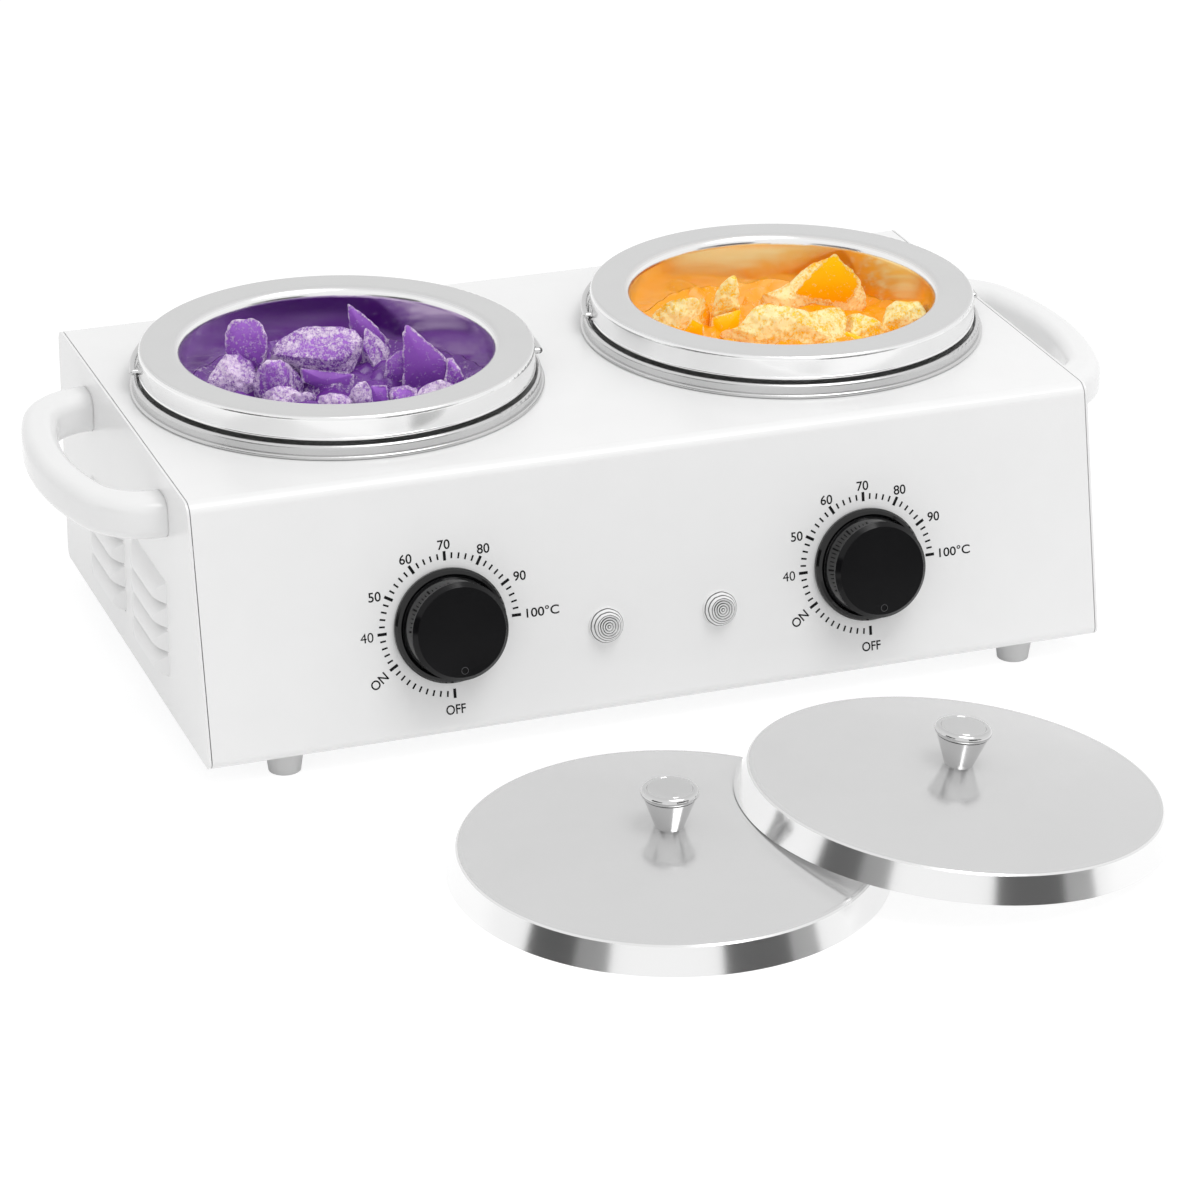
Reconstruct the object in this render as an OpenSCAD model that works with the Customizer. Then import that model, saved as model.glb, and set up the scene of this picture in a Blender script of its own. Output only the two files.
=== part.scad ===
// Double wax warmer: a bent sheet housing with two heated wells, lift-out pots with bails,
// two thermostat knobs, two pilot lamps, carrying handles, and two lids laid in front of it.
// Millimetres, +Z up, +X to the viewer's right, -Y to the viewer, table at Z = 0.

/* [Housing] */
// Width of the housing over both ends
body_w = 400; // [392:1:430]
// Depth of the flat top
body_d = 211.5; // [205:0.5:235]
// Height of the housing above its feet
body_h = 109.3; // [104:0.1:125]
// How far the foot of the front panel stands ahead of its top
front_lean = 23.6; // [14:0.1:30]
// Thickness of the sheet steel
sheet_t = 1; // [0.8:0.1:1.4]
// Outer bend radius of the sheet along the top edges
top_bend_r = 6; // [3:0.5:8]
// Outer bend radius of the sheet along the bottom edges
bottom_bend_r = 4; // [2.5:0.5:5]
// Open seam between the wrap and an end panel
seam_gap = 0.4; // [0.3:0.1:1]
// Width of the turned-in flanges of the sheet parts
flange_w = 16; // [14:0.5:20]

/* [Feet] */
// Height of a foot
foot_h = 9; // [7:0.5:14]
// Radius of a foot where it meets the housing
foot_r = 8; // [7:0.25:10]
// How much narrower a foot is at the table
foot_taper = 1.2; // [0:0.1:2]
// Distance of the feet from the ends of the housing
foot_end_gap = 35; // [24:1:60]

/* [Handles] */
// Half the distance between the middles of a handle's arms
handle_half = 61; // [52:0.5:70]
// Width of the handle's bar at the middle of the grip
handle_grip_w = 15; // [13:0.5:17]
// Width of the handle's bar at the arms
handle_arm_w = 19; // [16:0.5:22]
// Height of the handle's section
handle_h = 18; // [14:0.5:20]
// Edge radius of the handle's section
handle_edge_r = 5.5; // [3:0.25:6]
// Corner radius of the handle, at the middle of its section
handle_corner_r = 26; // [24:0.5:36]
// Bow radius of the grip, at the middle of its section
handle_bow_r = 140; // [110:1:300]
// Straight root of each arm
handle_root = 1; // [1:0.5:8]
// Height of the top plate above the middle of the handle
handle_drop = 19; // [16:0.5:26]
// How far the handle sits ahead of the middle of the housing
handle_ahead = 6; // [0:0.5:12]

/* [Louvres] */
// Rows of louvres in a column
louvre_rows = 4; // [2:1:4]
// Length of a louvre
louvre_len = 53; // [40:0.5:56]
// Height of a louvre
louvre_h = 9.4; // [7:0.1:10]
// Distance between rows
louvre_pitch = 11; // [10.5:0.1:12]
// How far a louvre stands out
louvre_out = 4; // [2.5:0.1:5]
// Length of a louvre's rounded end
louvre_taper = 12; // [8:0.5:16]
// Distance between the middles of the two columns
louvre_gap = 70; // [62:0.5:76]
// Height of the lowest louvre above the table
louvre_z = 26.3; // [20:0.1:30]
// How far the louvres sit ahead of the middle of the housing
louvre_ahead = 7.8; // [0:0.1:10]

/* [Pots] */
// Inside radius of a pot
pot_r = 66.8; // [62:0.1:68]
// Wall of a pot
pot_wall = 1.2; // [1:0.1:1.8]
// Height of a pot
pot_h = 95; // [80:0.5:97]
// Corner radius at the bottom of a pot
pot_corner_r = 9; // [5:0.5:14]
// Height of the rim above the top plate
rim_rise = 17.9; // [16:0.1:24]
// Depth of the rim's turned-down skirt
rim_skirt = 11; // [10.5:0.1:13]
// Radius of the rolled inner lip
lip_r = 4.4; // [3:0.1:5.5]
// Radius of the rim's outer edge
rim_edge_r = 2; // [1.9:0.1:3]
// How far the pots sit behind the middle of the top
pot_back = 3.3; // [0:0.1:6]
// Flat of the top plate left between a collar and the end of the housing
pot_end_gap = 8.4; // [7:0.1:12]
// Half the flat of the top plate left between the two collars
pot_mid_gap = 13.7; // [11:0.1:20]

/* [Bails] */
// Radius of the bail wire
wire_r = 1.4; // [1.1:0.1:1.6]
// Clear gap between the rim and the wire
wire_gap = 1.3; // [1:0.1:2]
// Depth of the pivots below the rim's top
pivot_drop = 8.5; // [7.5:0.1:8.6]
// Turn of the pots and bails about the vertical
bail_turn = -11; // [-30:1:30]

/* [Wells] */
// Gap between a pot and its well
well_gap = 1.2; // [0.8:0.1:2]
// Wall of a well
well_wall = 2; // [1.5:0.1:3]
// Floor of a well
well_floor = 4; // [3:0.5:6]
// Height of the collar ring above the top plate
collar_h = 5.9; // [4.5:0.1:6]
// Radius of the bead round the foot of the collar ring
bead_r = 0.9; // [0.8:0.1:1.8]
// Wall of the collar ring
collar_wall = 2.5; // [1.8:0.1:3]
// Height of the heater band
heater_h = 40; // [25:1:45]
// Thickness of the heater band
heater_t = 3; // [2:0.1:5]

/* [Controls] */
// Distance of each knob from the middle of the panel
knob_x = 93.5; // [80:0.5:110]
// Height of the knobs above the table
knob_z = 55.15; // [50:0.05:62]
// Radius of the knob's skirt
knob_r = 24.3; // [22:0.1:27]
// Radius of the knob's cap
cap_r = 20.7; // [18.5:0.1:21]
// Height of the knob with its cap
knob_h = 16.7; // [15:0.1:20]
// Thickness of the knob's cap
cap_t = 3.2; // [2.5:0.1:4]
// Radius of a control spindle
spindle_r = 3; // [2.5:0.1:4]
// Distance of each lamp from the middle of the panel
lamp_x = 25.5; // [15:0.5:45]
// Height of the lamps above the table
lamp_z = 45.6; // [40:0.1:60]
// Radius of a lamp's lens at the panel
lens_r = 7.6; // [6.5:0.1:10]
// How far a lens stands out
lens_h = 4.5; // [3.5:0.1:7]

/* [Lids] */
// Height of a lid's skirt
lid_h = 11.5; // [9:0.1:15]
// How far the lid's top ends inside the pot's rim
lid_top_inset = 1.1; // [0.5:0.1:3]
// How far the lid's skirt reaches outside the pot's rim
lid_flare = 3.7; // [2.5:0.1:5]
// Sheet of a lid
lid_t = 1; // [0.8:0.1:1.5]
// Rise of a lid's domed top above its edge
lid_crown = 7.6; // [4:0.1:10]
// Radius of a lid knob's top
lid_knob_r = 11.6; // [9:0.1:14]
// Height of a lid knob
lid_knob_h = 16.8; // [14:0.1:20]
// Distance of the first lid ahead of the middle of the top
lid_ahead = 253.8; // [240:0.1:290]
// Distance of the first lid left of the middle
lid_left = 47.4; // [30:0.1:70]
// Distance between the middles of the two lids
lid_step = 119.7; // [112:0.1:140]
// How much nearer the second lid lies than the first
lid_nearer = 4.5; // [0:0.1:10]

/* [Cord inlet] */
// Radius of the gland's bore
gland_bore_r = 3.7; // [3:0.1:4.5]
// How far the gland stands out of the back
gland_out = 14; // [8:0.5:18]
// Distance of the gland from the middle of the back
gland_x = 120; // [60:1:150]
// Height of the gland above the table
gland_z = 36; // [30:0.5:60]

/* [Hidden] */
$fn = 64;

// Fits and small sizes shared by several pieces
fit = 0.3;
close_fit = 0.1;
cut = 1;
arc_steps = 8;
corner_steps = 10;
bow_steps = 8;
LEFT = -1;
RIGHT = 1;

// Housing section, seen from the right end, and the planes of its walls
top_z = foot_h + body_h;
half_d = body_d / 2;
panel_tilt = atan(front_lean / body_h);
section = [[-half_d, top_z], [half_d, top_z], [half_d, foot_h], [-half_d - front_lean, foot_h]];
section_r = [top_bend_r, top_bend_r, bottom_bend_r, bottom_bend_r];
end_face_x = body_w / 2;
end_back_x = end_face_x - sheet_t;
wrap_end_x = end_back_x - seam_gap;
base_z = foot_h + sheet_t;
base_top_z = base_z + sheet_t;
front_inner_y = front_y(base_top_z) + sheet_t / cos(panel_tilt);
base_front_y = front_inner_y + bottom_bend_r;
base_back_y = half_d - bottom_bend_r;
flange_front_y = -half_d - front_lean + bottom_bend_r + flange_w;
flange_back_y = half_d - bottom_bend_r - flange_w;

// Screws: M4 pan heads
screw_r = 2;
screw_head_r = 3.8;
screw_head_h = 2.4;
screw_len = 10;
nut_af = 7;
nut_h = 3.2;
screw_hole_r = screw_r + fit;
back_screw_part = 0.22;
base_screw_y = half_d / 3;

// Feet
foot_x = body_w / 2 - foot_end_gap;
foot_front_y = flange_front_y - flange_w / 2;
foot_back_y = flange_back_y + flange_w / 2;
foot_spots = [[-foot_x, foot_front_y], [foot_x, foot_front_y],
    [-foot_x, foot_back_y], [foot_x, foot_back_y]];
foot_hole = foot_h * 0.7;

// Handle: two straight roots, two corner arcs and one bowed grip, tangent to one another
handle_z = top_z - handle_drop;
handle_arc_x = end_face_x + handle_root;
handle_turn = asin((handle_half - handle_corner_r) / (handle_bow_r - handle_corner_r));
handle_bow_x = handle_arc_x - (handle_bow_r - handle_corner_r) * cos(handle_turn);
handle_screw_depth = 12;

// Louvres: a lip curved in plan at its ends and in section from the panel to the lip
louvre_arc_r = (louvre_out * louvre_out + louvre_h * louvre_h) / (2 * louvre_out);
louvre_end_r = (louvre_out * louvre_out + louvre_taper * louvre_taper) / (2 * louvre_out);
louvre_t = sheet_t * 0.7;

// Pots, wells and collars share one axis on each side, and each half of the top sets their size
collar_foot_r = (body_w / 2 - pot_end_gap - pot_mid_gap) / 2;
pot_x = pot_mid_gap + collar_foot_r;
bead_x = collar_foot_r - bead_r;
collar_out_r = bead_x - bead_r / 2;
collar_in_r = collar_out_r - collar_wall;
rim_r = collar_in_r - fit;
rim_z = top_z + rim_rise;
pot_base_z = rim_z - pot_h;
pot_out_r = pot_r + pot_wall;
well_r = pot_out_r + well_gap;
well_out_r = well_r + well_wall;
well_base_z = pot_base_z - well_floor;
well_flange_t = 2;
well_flange_r = collar_in_r - close_fit;
rim_bead_r = pot_wall * 0.8;

// Bail wire and its pivots
wire_arc_r = rim_r + wire_gap + wire_r;
pivot_z = rim_z - pivot_drop;
pivot_hole_r = wire_r + fit;
pin_in_r = rim_r - pot_wall - 2.5;
pin_head_r = wire_r + 1;
pin_head_t = 1;

// Heater band with its clamp, and the sensor in the band's gap
heater_in_r = well_out_r + close_fit;
heater_out_r = heater_in_r + heater_t;
heater_z = pot_base_z + (top_z - pot_base_z - heater_h) / 2;
heater_gap = 18;
lug_t = 2;
lug_len = 13;
lug_h = 16;
sensor_r = 3;
sensor_len = 36;
sensor_x = well_out_r + fit + sensor_r;
capillary_r = 1;
elbow_swell = 1.25;

// Tie rods and cutouts under the wells
rod_r = 3;
rod_end_z = base_z - nut_h - cut;
cutout_r = 8;
cutout_h = 9;
cutout_x = 32;

// Thermostat behind the panel
stat_w = 36;
stat_h = 42;
stat_d = 26;
bush_r = 5;
bush_out = 3;
spindle_in = 16;
spindle_out = 12;
spindle_flat = 0.8;
stat_screw_x = 14;
diaphragm_r = 12;
diaphragm_h = 5;
stat_rear = sheet_t + stat_d + diaphragm_h;

// Knob, from the panel out
knob_gap = 0.8;
skirt_edge_h = 2.2;
skirt_top = 3.8;
barrel_foot = 4.6;
barrel_r = cap_r + 0.5;
hollow_r = cap_r - 2.2;
hollow_h = 5;
cap_seat = knob_h - cap_t;
cap_bevel = 0.9;
cap_edge = 1.8;
dot_r = 1.3;
dot_depth = 0.5;
dot_inset = 4.6;

// Lamp
lens_front_r = lens_r - 2.6;
lens_flange_h = 1;
lens_ring_pitch = 1.1;
lens_ring_w = 0.45;
lens_ring_depth = 0.45;
lens_rings = 4;
lens_cavity_r = 3.6;
lens_cavity_h = lens_h - 1.6;
lamp_body_r = 5;
lamp_body_len = 24;
lamp_bore_r = 3;
lamp_nut_af = 14;
lamp_nut_h = 4;
bulb_r = 2.2;
bulb_len = 14;

// Lids: a cone that seats on the rim, the second leaning on the first
lid_top_r = rim_r - lid_top_inset;
lid_bottom_r = rim_r + lid_flare;
lid_edge = 1;
lid_shoulder_r = lid_top_r + lid_edge * 0.7;
lid_seat_r = 7;
lid_chord = lid_top_r - 2 * lid_edge;
lid_drop = (lid_chord * lid_chord - lid_seat_r * lid_seat_r - lid_crown * lid_crown) / (2 * lid_crown);
lid_dome_r = sqrt(lid_chord * lid_chord + lid_drop * lid_drop);
lid_seat_z = lid_h + lid_crown;
lid_dome_fn = 256;
lid_knob_foot_r = lid_knob_r / 2;
lid_band_h = 3.8;
lid_lean = max([for (turn = [90 : 3 : 270])
    let(reach = lid_bottom_r * (1 - cos(turn)),
        spot = [lid_step + lid_bottom_r * cos(turn), lid_bottom_r * sin(turn) - lid_nearer])
    asin((lid_top_z(norm(spot)) + fit) / reach)]);

// Gland
gland_r = gland_bore_r + 2.3;
gland_flange_r = gland_r + 4;
gland_flange_t = 3;
gland_in = 12;
gland_nose_r = gland_r - 0.8;
gland_nut_af = 2 * gland_r + 6;
gland_nut_h = 5;

// Inner fittings on the base plate
block_size = [44, 20, 16];
block_y = 62;
block_hole_r = 2.5;
stud_spot = [38, 84];
stud_r = 2.5;
stud_h = 14;

// The whole set is moved so that its box is centred over the origin
set_front_y = -lid_ahead - lid_nearer - lid_bottom_r;
set_back_y = half_d + gland_out;
home_y = -(set_front_y + set_back_y) / 2;

// Colours of the finishes
white_paint = "white";
white_plastic = "#f7f7f5";
steel = "#c9cbcd";
polished = "#e3e4e5";
zinc = "#b4b7ba";
black_plastic = "#161616";
grey_rubber = "#8f8f8f";
clear_lens = "#eef0f1";
mica = "#9c8f78";
copper = "#b87333";

// Outer y of the front panel at height z
function front_y(z) = -half_d - front_lean * (top_z - z) / body_h;

// Height of a lid's outside at a distance r from its axis
function lid_top_z(r) = r > lid_top_r ? 0 : lid_h + max(0, sqrt(lid_dome_r * lid_dome_r - r * r) - lid_drop);

// Corner geometry of a convex outline
function unit(v) = v / norm(v);
function turned(angle) = [cos(angle), sin(angle)];
function half_angle(a, b, c) = acos(unit(a - b) * unit(c - b)) / 2;
function corner_centre(a, b, c, r) = b + unit(unit(a - b) + unit(c - b)) * r / sin(half_angle(a, b, c));
function before(points, i) = points[(i + len(points) - 1) % len(points)];
function after(points, i) = points[(i + 1) % len(points)];
function foot_on(a, b, p) = a + unit(b - a) * ((p - a) * unit(b - a));
function inset(points, d) =
    [for (i = [0:len(points) - 1]) corner_centre(before(points, i), points[i], after(points, i), d)];

// Convex outline with every corner rounded to its own radius by an arc of short chords
function rounded(points, radii) =
    [for (i = [0:len(points) - 1])
        let (centre = corner_centre(before(points, i), points[i], after(points, i), radii[i]),
            start = foot_on(before(points, i), points[i], centre) - centre,
            end = foot_on(points[i], after(points, i), centre) - centre,
            from = atan2(start[1], start[0]),
            sweep = (atan2(end[1], end[0]) - from + 540) % 360 - 180)
        for (k = [0:arc_steps]) centre + radii[i] * turned(from + sweep * k / arc_steps)];

// Moves the housing frame to the part's frame
module home() {
    translate([0, home_y, 0]) children();
}

// Extrudes an outline drawn in Y and Z along X, centred
module along_x(length) {
    rotate([90, 0, 90]) linear_extrude(length, center = true) children();
}

// Local frame on the front panel, +Z out of it and +Y up it
module on_front(x, z) {
    translate([x, front_y(z), z]) rotate([90 - panel_tilt, 0, 0]) children();
}

// Local frame on the back, +Z out of it
module on_back(x, z) {
    translate([x, half_d, z]) rotate([-90, 0, 0]) children();
}

// Axis of the pot on one side
module at_pot(side, z) {
    translate([side * pot_x, pot_back, z]) rotate(bail_turn) children();
}

// Pan head screw: the head stands on Z = 0 and the shank goes down
module pan_screw(length) {
    translate([0, 0, -length]) cylinder(r = screw_r, h = length);
    cylinder(r = screw_head_r, h = screw_head_h);
}

// Hex nut on Z = 0 with its bore
module hex_nut(across, height, bore_r) {
    difference() {
        cylinder(r = across / sqrt(3), h = height, $fn = 6);
        translate([0, 0, -cut]) cylinder(r = bore_r, h = height + 2 * cut);
    }
}

// Round tube through a list of points
module tube(points, r) {
    for (i = [0:len(points) - 2]) {
        step = points[i + 1] - points[i];
        translate(points[i])
            rotate([0, acos(step[2] / norm(step)), atan2(step[1], step[0])])
            cylinder(r = r, h = norm(step));
    }
    for (i = [1:len(points) - 2]) translate(points[i]) sphere(r * elbow_swell);
}

// Half section of a cup with a rounded bottom corner
module cup_section(r, h, corner) {
    square([r - corner, h]);
    translate([0, corner]) square([r, h - corner]);
    translate([r - corner, corner]) intersection() {
        circle(corner);
        translate([0, -corner]) square(corner);
    }
}

// Quarter of a bent strip, from +X to +Y, of outer radius r and thickness t
module bend_section(r, t) {
    intersection() {
        difference() {
            circle(r);
            circle(r - t);
        }
        square(r);
    }
}

// Front, top and back in one bent sheet, with turned-in bottom flanges
module housing_wrap() {
    color(white_paint) home() difference() {
        along_x(2 * wrap_end_x) difference() {
            polygon(rounded(section, section_r));
            polygon(rounded(inset(section, sheet_t), [for (r = section_r) r - sheet_t]));
            translate([flange_front_y, foot_h - cut])
                square([flange_back_y - flange_front_y, sheet_t + 2 * cut]);
        }
        for (side = [LEFT, RIGHT]) {
            at_pot(side, top_z - sheet_t - cut) cylinder(r = well_out_r + fit, h = sheet_t + 2 * cut);
            on_front(side * knob_x, knob_z) panel_holes();
            on_front(side * lamp_x, lamp_z) through_sheet(lamp_body_r + fit);
        }
        on_back(gland_x, gland_z) through_sheet(gland_r + close_fit);
        for (spot = back_screw_spots()) on_back(spot[0], spot[1]) through_sheet(screw_hole_r);
        for (spot = foot_spots) translate([spot[0], spot[1], foot_h + sheet_t]) through_sheet(screw_hole_r);
    }
}

// Holes for one thermostat: its bush and two screws
module panel_holes() {
    through_sheet(bush_r + close_fit);
    for (side = [LEFT, RIGHT]) translate([side * stat_screw_x, 0, 0]) through_sheet(screw_hole_r);
}

// Cutter for a hole in a sheet whose outer face is at Z = 0
module through_sheet(r) {
    translate([0, 0, -sheet_t - cut]) cylinder(r = r, h = sheet_t + 2 * cut);
}

// Screws through the back into the end panels' rear flanges
function back_screw_spots() =
    [for (side = [LEFT, RIGHT], high = [0, 1])
        [side * (end_back_x - flange_w / 2),
            foot_h + body_h * (high == 1 ? 1 - back_screw_part : back_screw_part)]];

// Screws up through the base plate into the end panels' bottom flanges
function base_screw_spots() =
    [for (side = [LEFT, RIGHT], end = [LEFT, RIGHT])
        [side * (end_back_x - flange_w / 2), end * base_screw_y]];

// Solid of a louvre, shrunk inwards by its sheet: X out, Y along it, Z up from its lip
module louvre_form(shrink, back, drop) {
    reach = louvre_len / 2 - louvre_taper;
    intersection() {
        rotate([90, 0, 0]) linear_extrude(louvre_len, center = true) intersection() {
            translate([louvre_out - louvre_arc_r, 0]) circle(louvre_arc_r - shrink);
            translate([-back, -drop]) square([louvre_out + back, louvre_h + drop]);
        }
        translate([0, 0, -drop]) linear_extrude(louvre_h + drop) intersection() {
            union() {
                translate([-back, -reach]) square([louvre_out + back - shrink, 2 * reach]);
                for (end = [LEFT, RIGHT])
                    translate([louvre_out - louvre_end_r, end * reach]) circle(louvre_end_r - shrink);
            }
            translate([-back, -louvre_len / 2]) square([louvre_out + back, louvre_len]);
        }
    }
}

// Places a copy at each louvre of one end panel, made for the right-hand end
module each_louvre() {
    for (column = [LEFT, RIGHT], row = [0:louvre_rows - 1])
        translate([end_face_x, column * louvre_gap / 2 - louvre_ahead, louvre_z + row * louvre_pitch])
            children();
}

// End panel with pressed louvres, and flanges at the bottom and the rear
module end_panel(side) {
    rear_y = half_d - sheet_t - fit;
    rear_flange_h = body_h - top_bend_r - 4 * bottom_bend_r;
    color(white_paint) home() mirror([side == LEFT ? 1 : 0, 0, 0]) difference() {
        union() {
            translate([end_back_x + sheet_t / 2, 0, 0]) along_x(sheet_t)
                polygon(rounded(section, section_r));
            each_louvre() louvre_form(0, sheet_t / 2, 0);
            translate([end_back_x - flange_w, -half_d / 2, base_top_z])
                cube([flange_w + sheet_t / 2, half_d, sheet_t]);
            translate([end_back_x - flange_w, rear_y - sheet_t, foot_h + 2 * bottom_bend_r])
                cube([flange_w + sheet_t / 2, sheet_t, rear_flange_h]);
        }
        each_louvre() louvre_form(louvre_t, sheet_t + cut, cut);
        for (end = [LEFT, RIGHT])
            translate([end_face_x, end * handle_half - handle_ahead, handle_z]) rotate([0, 90, 0])
                through_sheet(screw_hole_r);
        for (spot = back_screw_spots())
            on_back(abs(spot[0]), spot[1]) translate([0, 0, -sheet_t - fit]) through_sheet(screw_hole_r);
        for (spot = base_screw_spots())
            translate([abs(spot[0]), spot[1], base_top_z + sheet_t]) through_sheet(screw_hole_r);
    }
}

module left_end_panel() {
    end_panel(LEFT);
}

module right_end_panel() {
    end_panel(RIGHT);
}

// Floor of the housing, resting on the wrap's flanges
module base_plate() {
    half_w = end_back_x - fit;
    color(zinc) home() difference() {
        translate([-half_w, base_front_y, base_z])
            cube([2 * half_w, base_back_y - base_front_y, sheet_t]);
        for (spot = foot_spots) translate([spot[0], spot[1], base_top_z]) through_sheet(screw_hole_r);
        for (spot = base_screw_spots()) translate([spot[0], spot[1], base_top_z]) through_sheet(screw_hole_r);
        for (side = [LEFT, RIGHT]) at_pot(side, base_top_z) through_sheet(rod_r + fit);
    }
}

// One foot with a blind hole for its screw
module foot(index) {
    color(grey_rubber) home() translate([foot_spots[index][0], foot_spots[index][1], 0]) difference() {
        cylinder(r1 = foot_r - foot_taper, r2 = foot_r, h = foot_h);
        translate([0, 0, foot_h - foot_hole]) cylinder(r = screw_r + close_fit, h = foot_hole + cut);
    }
}

module front_left_foot() {
    foot(0);
}

module front_right_foot() {
    foot(1);
}

module rear_left_foot() {
    foot(2);
}

module rear_right_foot() {
    foot(3);
}

module foot_screws() {
    color(zinc) home() for (spot = foot_spots)
        translate([spot[0], spot[1], base_top_z]) pan_screw(2 * sheet_t + foot_hole - cut);
}

module base_screws() {
    color(zinc) home() for (spot = base_screw_spots())
        translate([spot[0], spot[1], base_z]) rotate([180, 0, 0]) pan_screw(screw_len);
}

module back_screws() {
    color(zinc) home() for (spot = back_screw_spots()) on_back(spot[0], spot[1]) pan_screw(screw_len);
}

// Bar of a handle swept through stations of [point, direction of its outer side], widest at the arms
module handle_bar(stations) {
    w = handle_grip_w / 2;
    h = handle_h / 2;
    outline = rounded([[-w, -h], [w, -h], [w, h], [-w, h]], [for (i = [0:3]) handle_edge_r]);
    sides = len(outline);
    last = len(stations) - 1;
    points = [for (s = stations, q = outline)
        let (wide = 1 + (handle_arm_w / handle_grip_w - 1) * pow(sin(s[1]), 2),
            spot = s[0] + q[0] * wide * turned(s[1]))
        [spot[0], spot[1], q[1]]];
    walls = [for (j = [0:last - 1], i = [0:sides - 1])
        let (a = j * sides + i, b = j * sides + (i + 1) % sides)
        each [[a, b, a + sides], [b, b + sides, a + sides]]];
    caps = [[for (i = [sides - 1:-1:0]) i], [for (i = [0:sides - 1]) last * sides + i]];
    polyhedron(points, concat(walls, caps));
}

// Moulded carrying handle, a bowed loop with both arms on the end panel
module handle(side) {
    bow_from = 90 - handle_turn;
    corner = [for (k = [0:corner_steps]) 90 - bow_from * k / corner_steps];
    bow = [for (k = [1:bow_steps - 1]) handle_turn * (1 - 2 * k / bow_steps)];
    stations = concat(
        [[[end_face_x, handle_half], 90]],
        [for (a = corner) [[handle_arc_x, handle_half - handle_corner_r] + handle_corner_r * turned(a), a]],
        [for (a = bow) [[handle_bow_x, 0] + handle_bow_r * turned(a), a]],
        [for (a = corner) let (b = a - 90 - handle_turn)
            [[handle_arc_x, handle_corner_r - handle_half] + handle_corner_r * turned(b), b]],
        [[[end_face_x, -handle_half], -90]]);
    color(white_plastic) home() mirror([side == LEFT ? 1 : 0, 0, 0])
        translate([0, -handle_ahead, handle_z]) difference() {
            handle_bar(stations);
            for (end = [LEFT, RIGHT])
                translate([end_face_x - cut, end * handle_half, 0]) rotate([0, 90, 0])
                    cylinder(r = screw_r + close_fit, h = handle_screw_depth + cut);
        }
}

module left_handle() {
    handle(LEFT);
}

module right_handle() {
    handle(RIGHT);
}

module handle_screws() {
    color(zinc) home() for (side = [0, 1], end = [LEFT, RIGHT]) mirror([side, 0, 0])
        translate([end_back_x, end * handle_half - handle_ahead, handle_z]) rotate([0, -90, 0])
            pan_screw(sheet_t + handle_screw_depth - cut);
}

// Heated well: a cup with a flange that lies on the top plate
module heating_well(side) {
    color(steel) home() at_pot(side, 0) rotate_extrude() {
        difference() {
            translate([0, well_base_z])
                cup_section(well_out_r, top_z - well_base_z, pot_corner_r + well_gap + well_wall);
            translate([0, pot_base_z]) cup_section(well_r, top_z, pot_corner_r + well_gap);
        }
        translate([well_r, top_z]) square([well_flange_r - well_r, well_flange_t]);
    }
}

module left_heating_well() {
    heating_well(LEFT);
}

module right_heating_well() {
    heating_well(RIGHT);
}

// Polished ring round the well's flange: a bead at its foot and a rounded top
module collar_ring(side) {
    color(polished) home() at_pot(side, top_z) rotate_extrude() {
        translate([collar_in_r, 0]) square([bead_x - collar_in_r, 2 * bead_r]);
        translate([bead_x, bead_r]) circle(bead_r);
        translate([collar_in_r, 0]) square([collar_wall, collar_h - collar_wall / 2]);
        translate([collar_in_r + collar_wall / 2, collar_h - collar_wall / 2]) circle(collar_wall / 2);
    }
}

module left_collar_ring() {
    collar_ring(LEFT);
}

module right_collar_ring() {
    collar_ring(RIGHT);
}

// Local frame of the heater's gap, which faces the middle of the housing
module at_gap(side) {
    translate([side * pot_x, pot_back, 0]) mirror([side == LEFT ? 0 : 1, 0, 0]) children();
}

// Band heater clamped round the well
module heater_band(side) {
    clamp_z = heater_z + heater_h / 2;
    color(mica) home() at_gap(side) difference() {
        union() {
            translate([0, 0, heater_z]) difference() {
                cylinder(r = heater_out_r, h = heater_h);
                translate([0, 0, -cut]) cylinder(r = heater_in_r, h = heater_h + 2 * cut);
                translate([0, -heater_gap / 2, -cut])
                    cube([2 * heater_out_r, heater_gap, heater_h + 2 * cut]);
            }
            for (end = [0, 1]) mirror([0, end, 0])
                translate([heater_out_r - heater_t, heater_gap / 2, clamp_z - lug_h / 2])
                    cube([lug_len + heater_t, lug_t, lug_h]);
        }
        translate([heater_out_r + lug_len / 2, -heater_gap, clamp_z]) rotate([-90, 0, 0])
            cylinder(r = screw_hole_r, h = 2 * heater_gap);
    }
}

module left_heater_band() {
    heater_band(LEFT);
}

module right_heater_band() {
    heater_band(RIGHT);
}

module heater_clamp_screws() {
    color(zinc) home() for (side = [LEFT, RIGHT]) at_gap(side)
        translate([heater_out_r + lug_len / 2, heater_gap / 2 + lug_t, heater_z + heater_h / 2])
            rotate([-90, 0, 0]) pan_screw(heater_gap + 2 * lug_t + nut_h);
}

// Stud under the well, drawn down to the base plate
module tie_rod(side) {
    color(zinc) home() at_pot(side, rod_end_z) cylinder(r = rod_r, h = well_base_z - rod_end_z);
}

module left_tie_rod() {
    tie_rod(LEFT);
}

module right_tie_rod() {
    tie_rod(RIGHT);
}

module tie_rod_nuts() {
    color(zinc) home() for (side = [LEFT, RIGHT]) at_pot(side, base_z - nut_h)
        hex_nut(nut_af + 2 * rod_r - 2 * screw_r, nut_h, rod_r + close_fit);
}

// Snap-disc cutout under the floor of the well
module thermal_cutout(side) {
    color(black_plastic) home() at_gap(side) translate([cutout_x, 0, well_base_z - cutout_h]) {
        cylinder(r = cutout_r, h = cutout_h);
        for (end = [LEFT, RIGHT])
            translate([-sheet_t / 2, end * cutout_r / 2 - screw_r, -cutout_r / 2])
                cube([sheet_t, 2 * screw_r, cutout_r / 2]);
    }
}

module left_thermal_cutout() {
    thermal_cutout(LEFT);
}

module right_thermal_cutout() {
    thermal_cutout(RIGHT);
}

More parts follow.
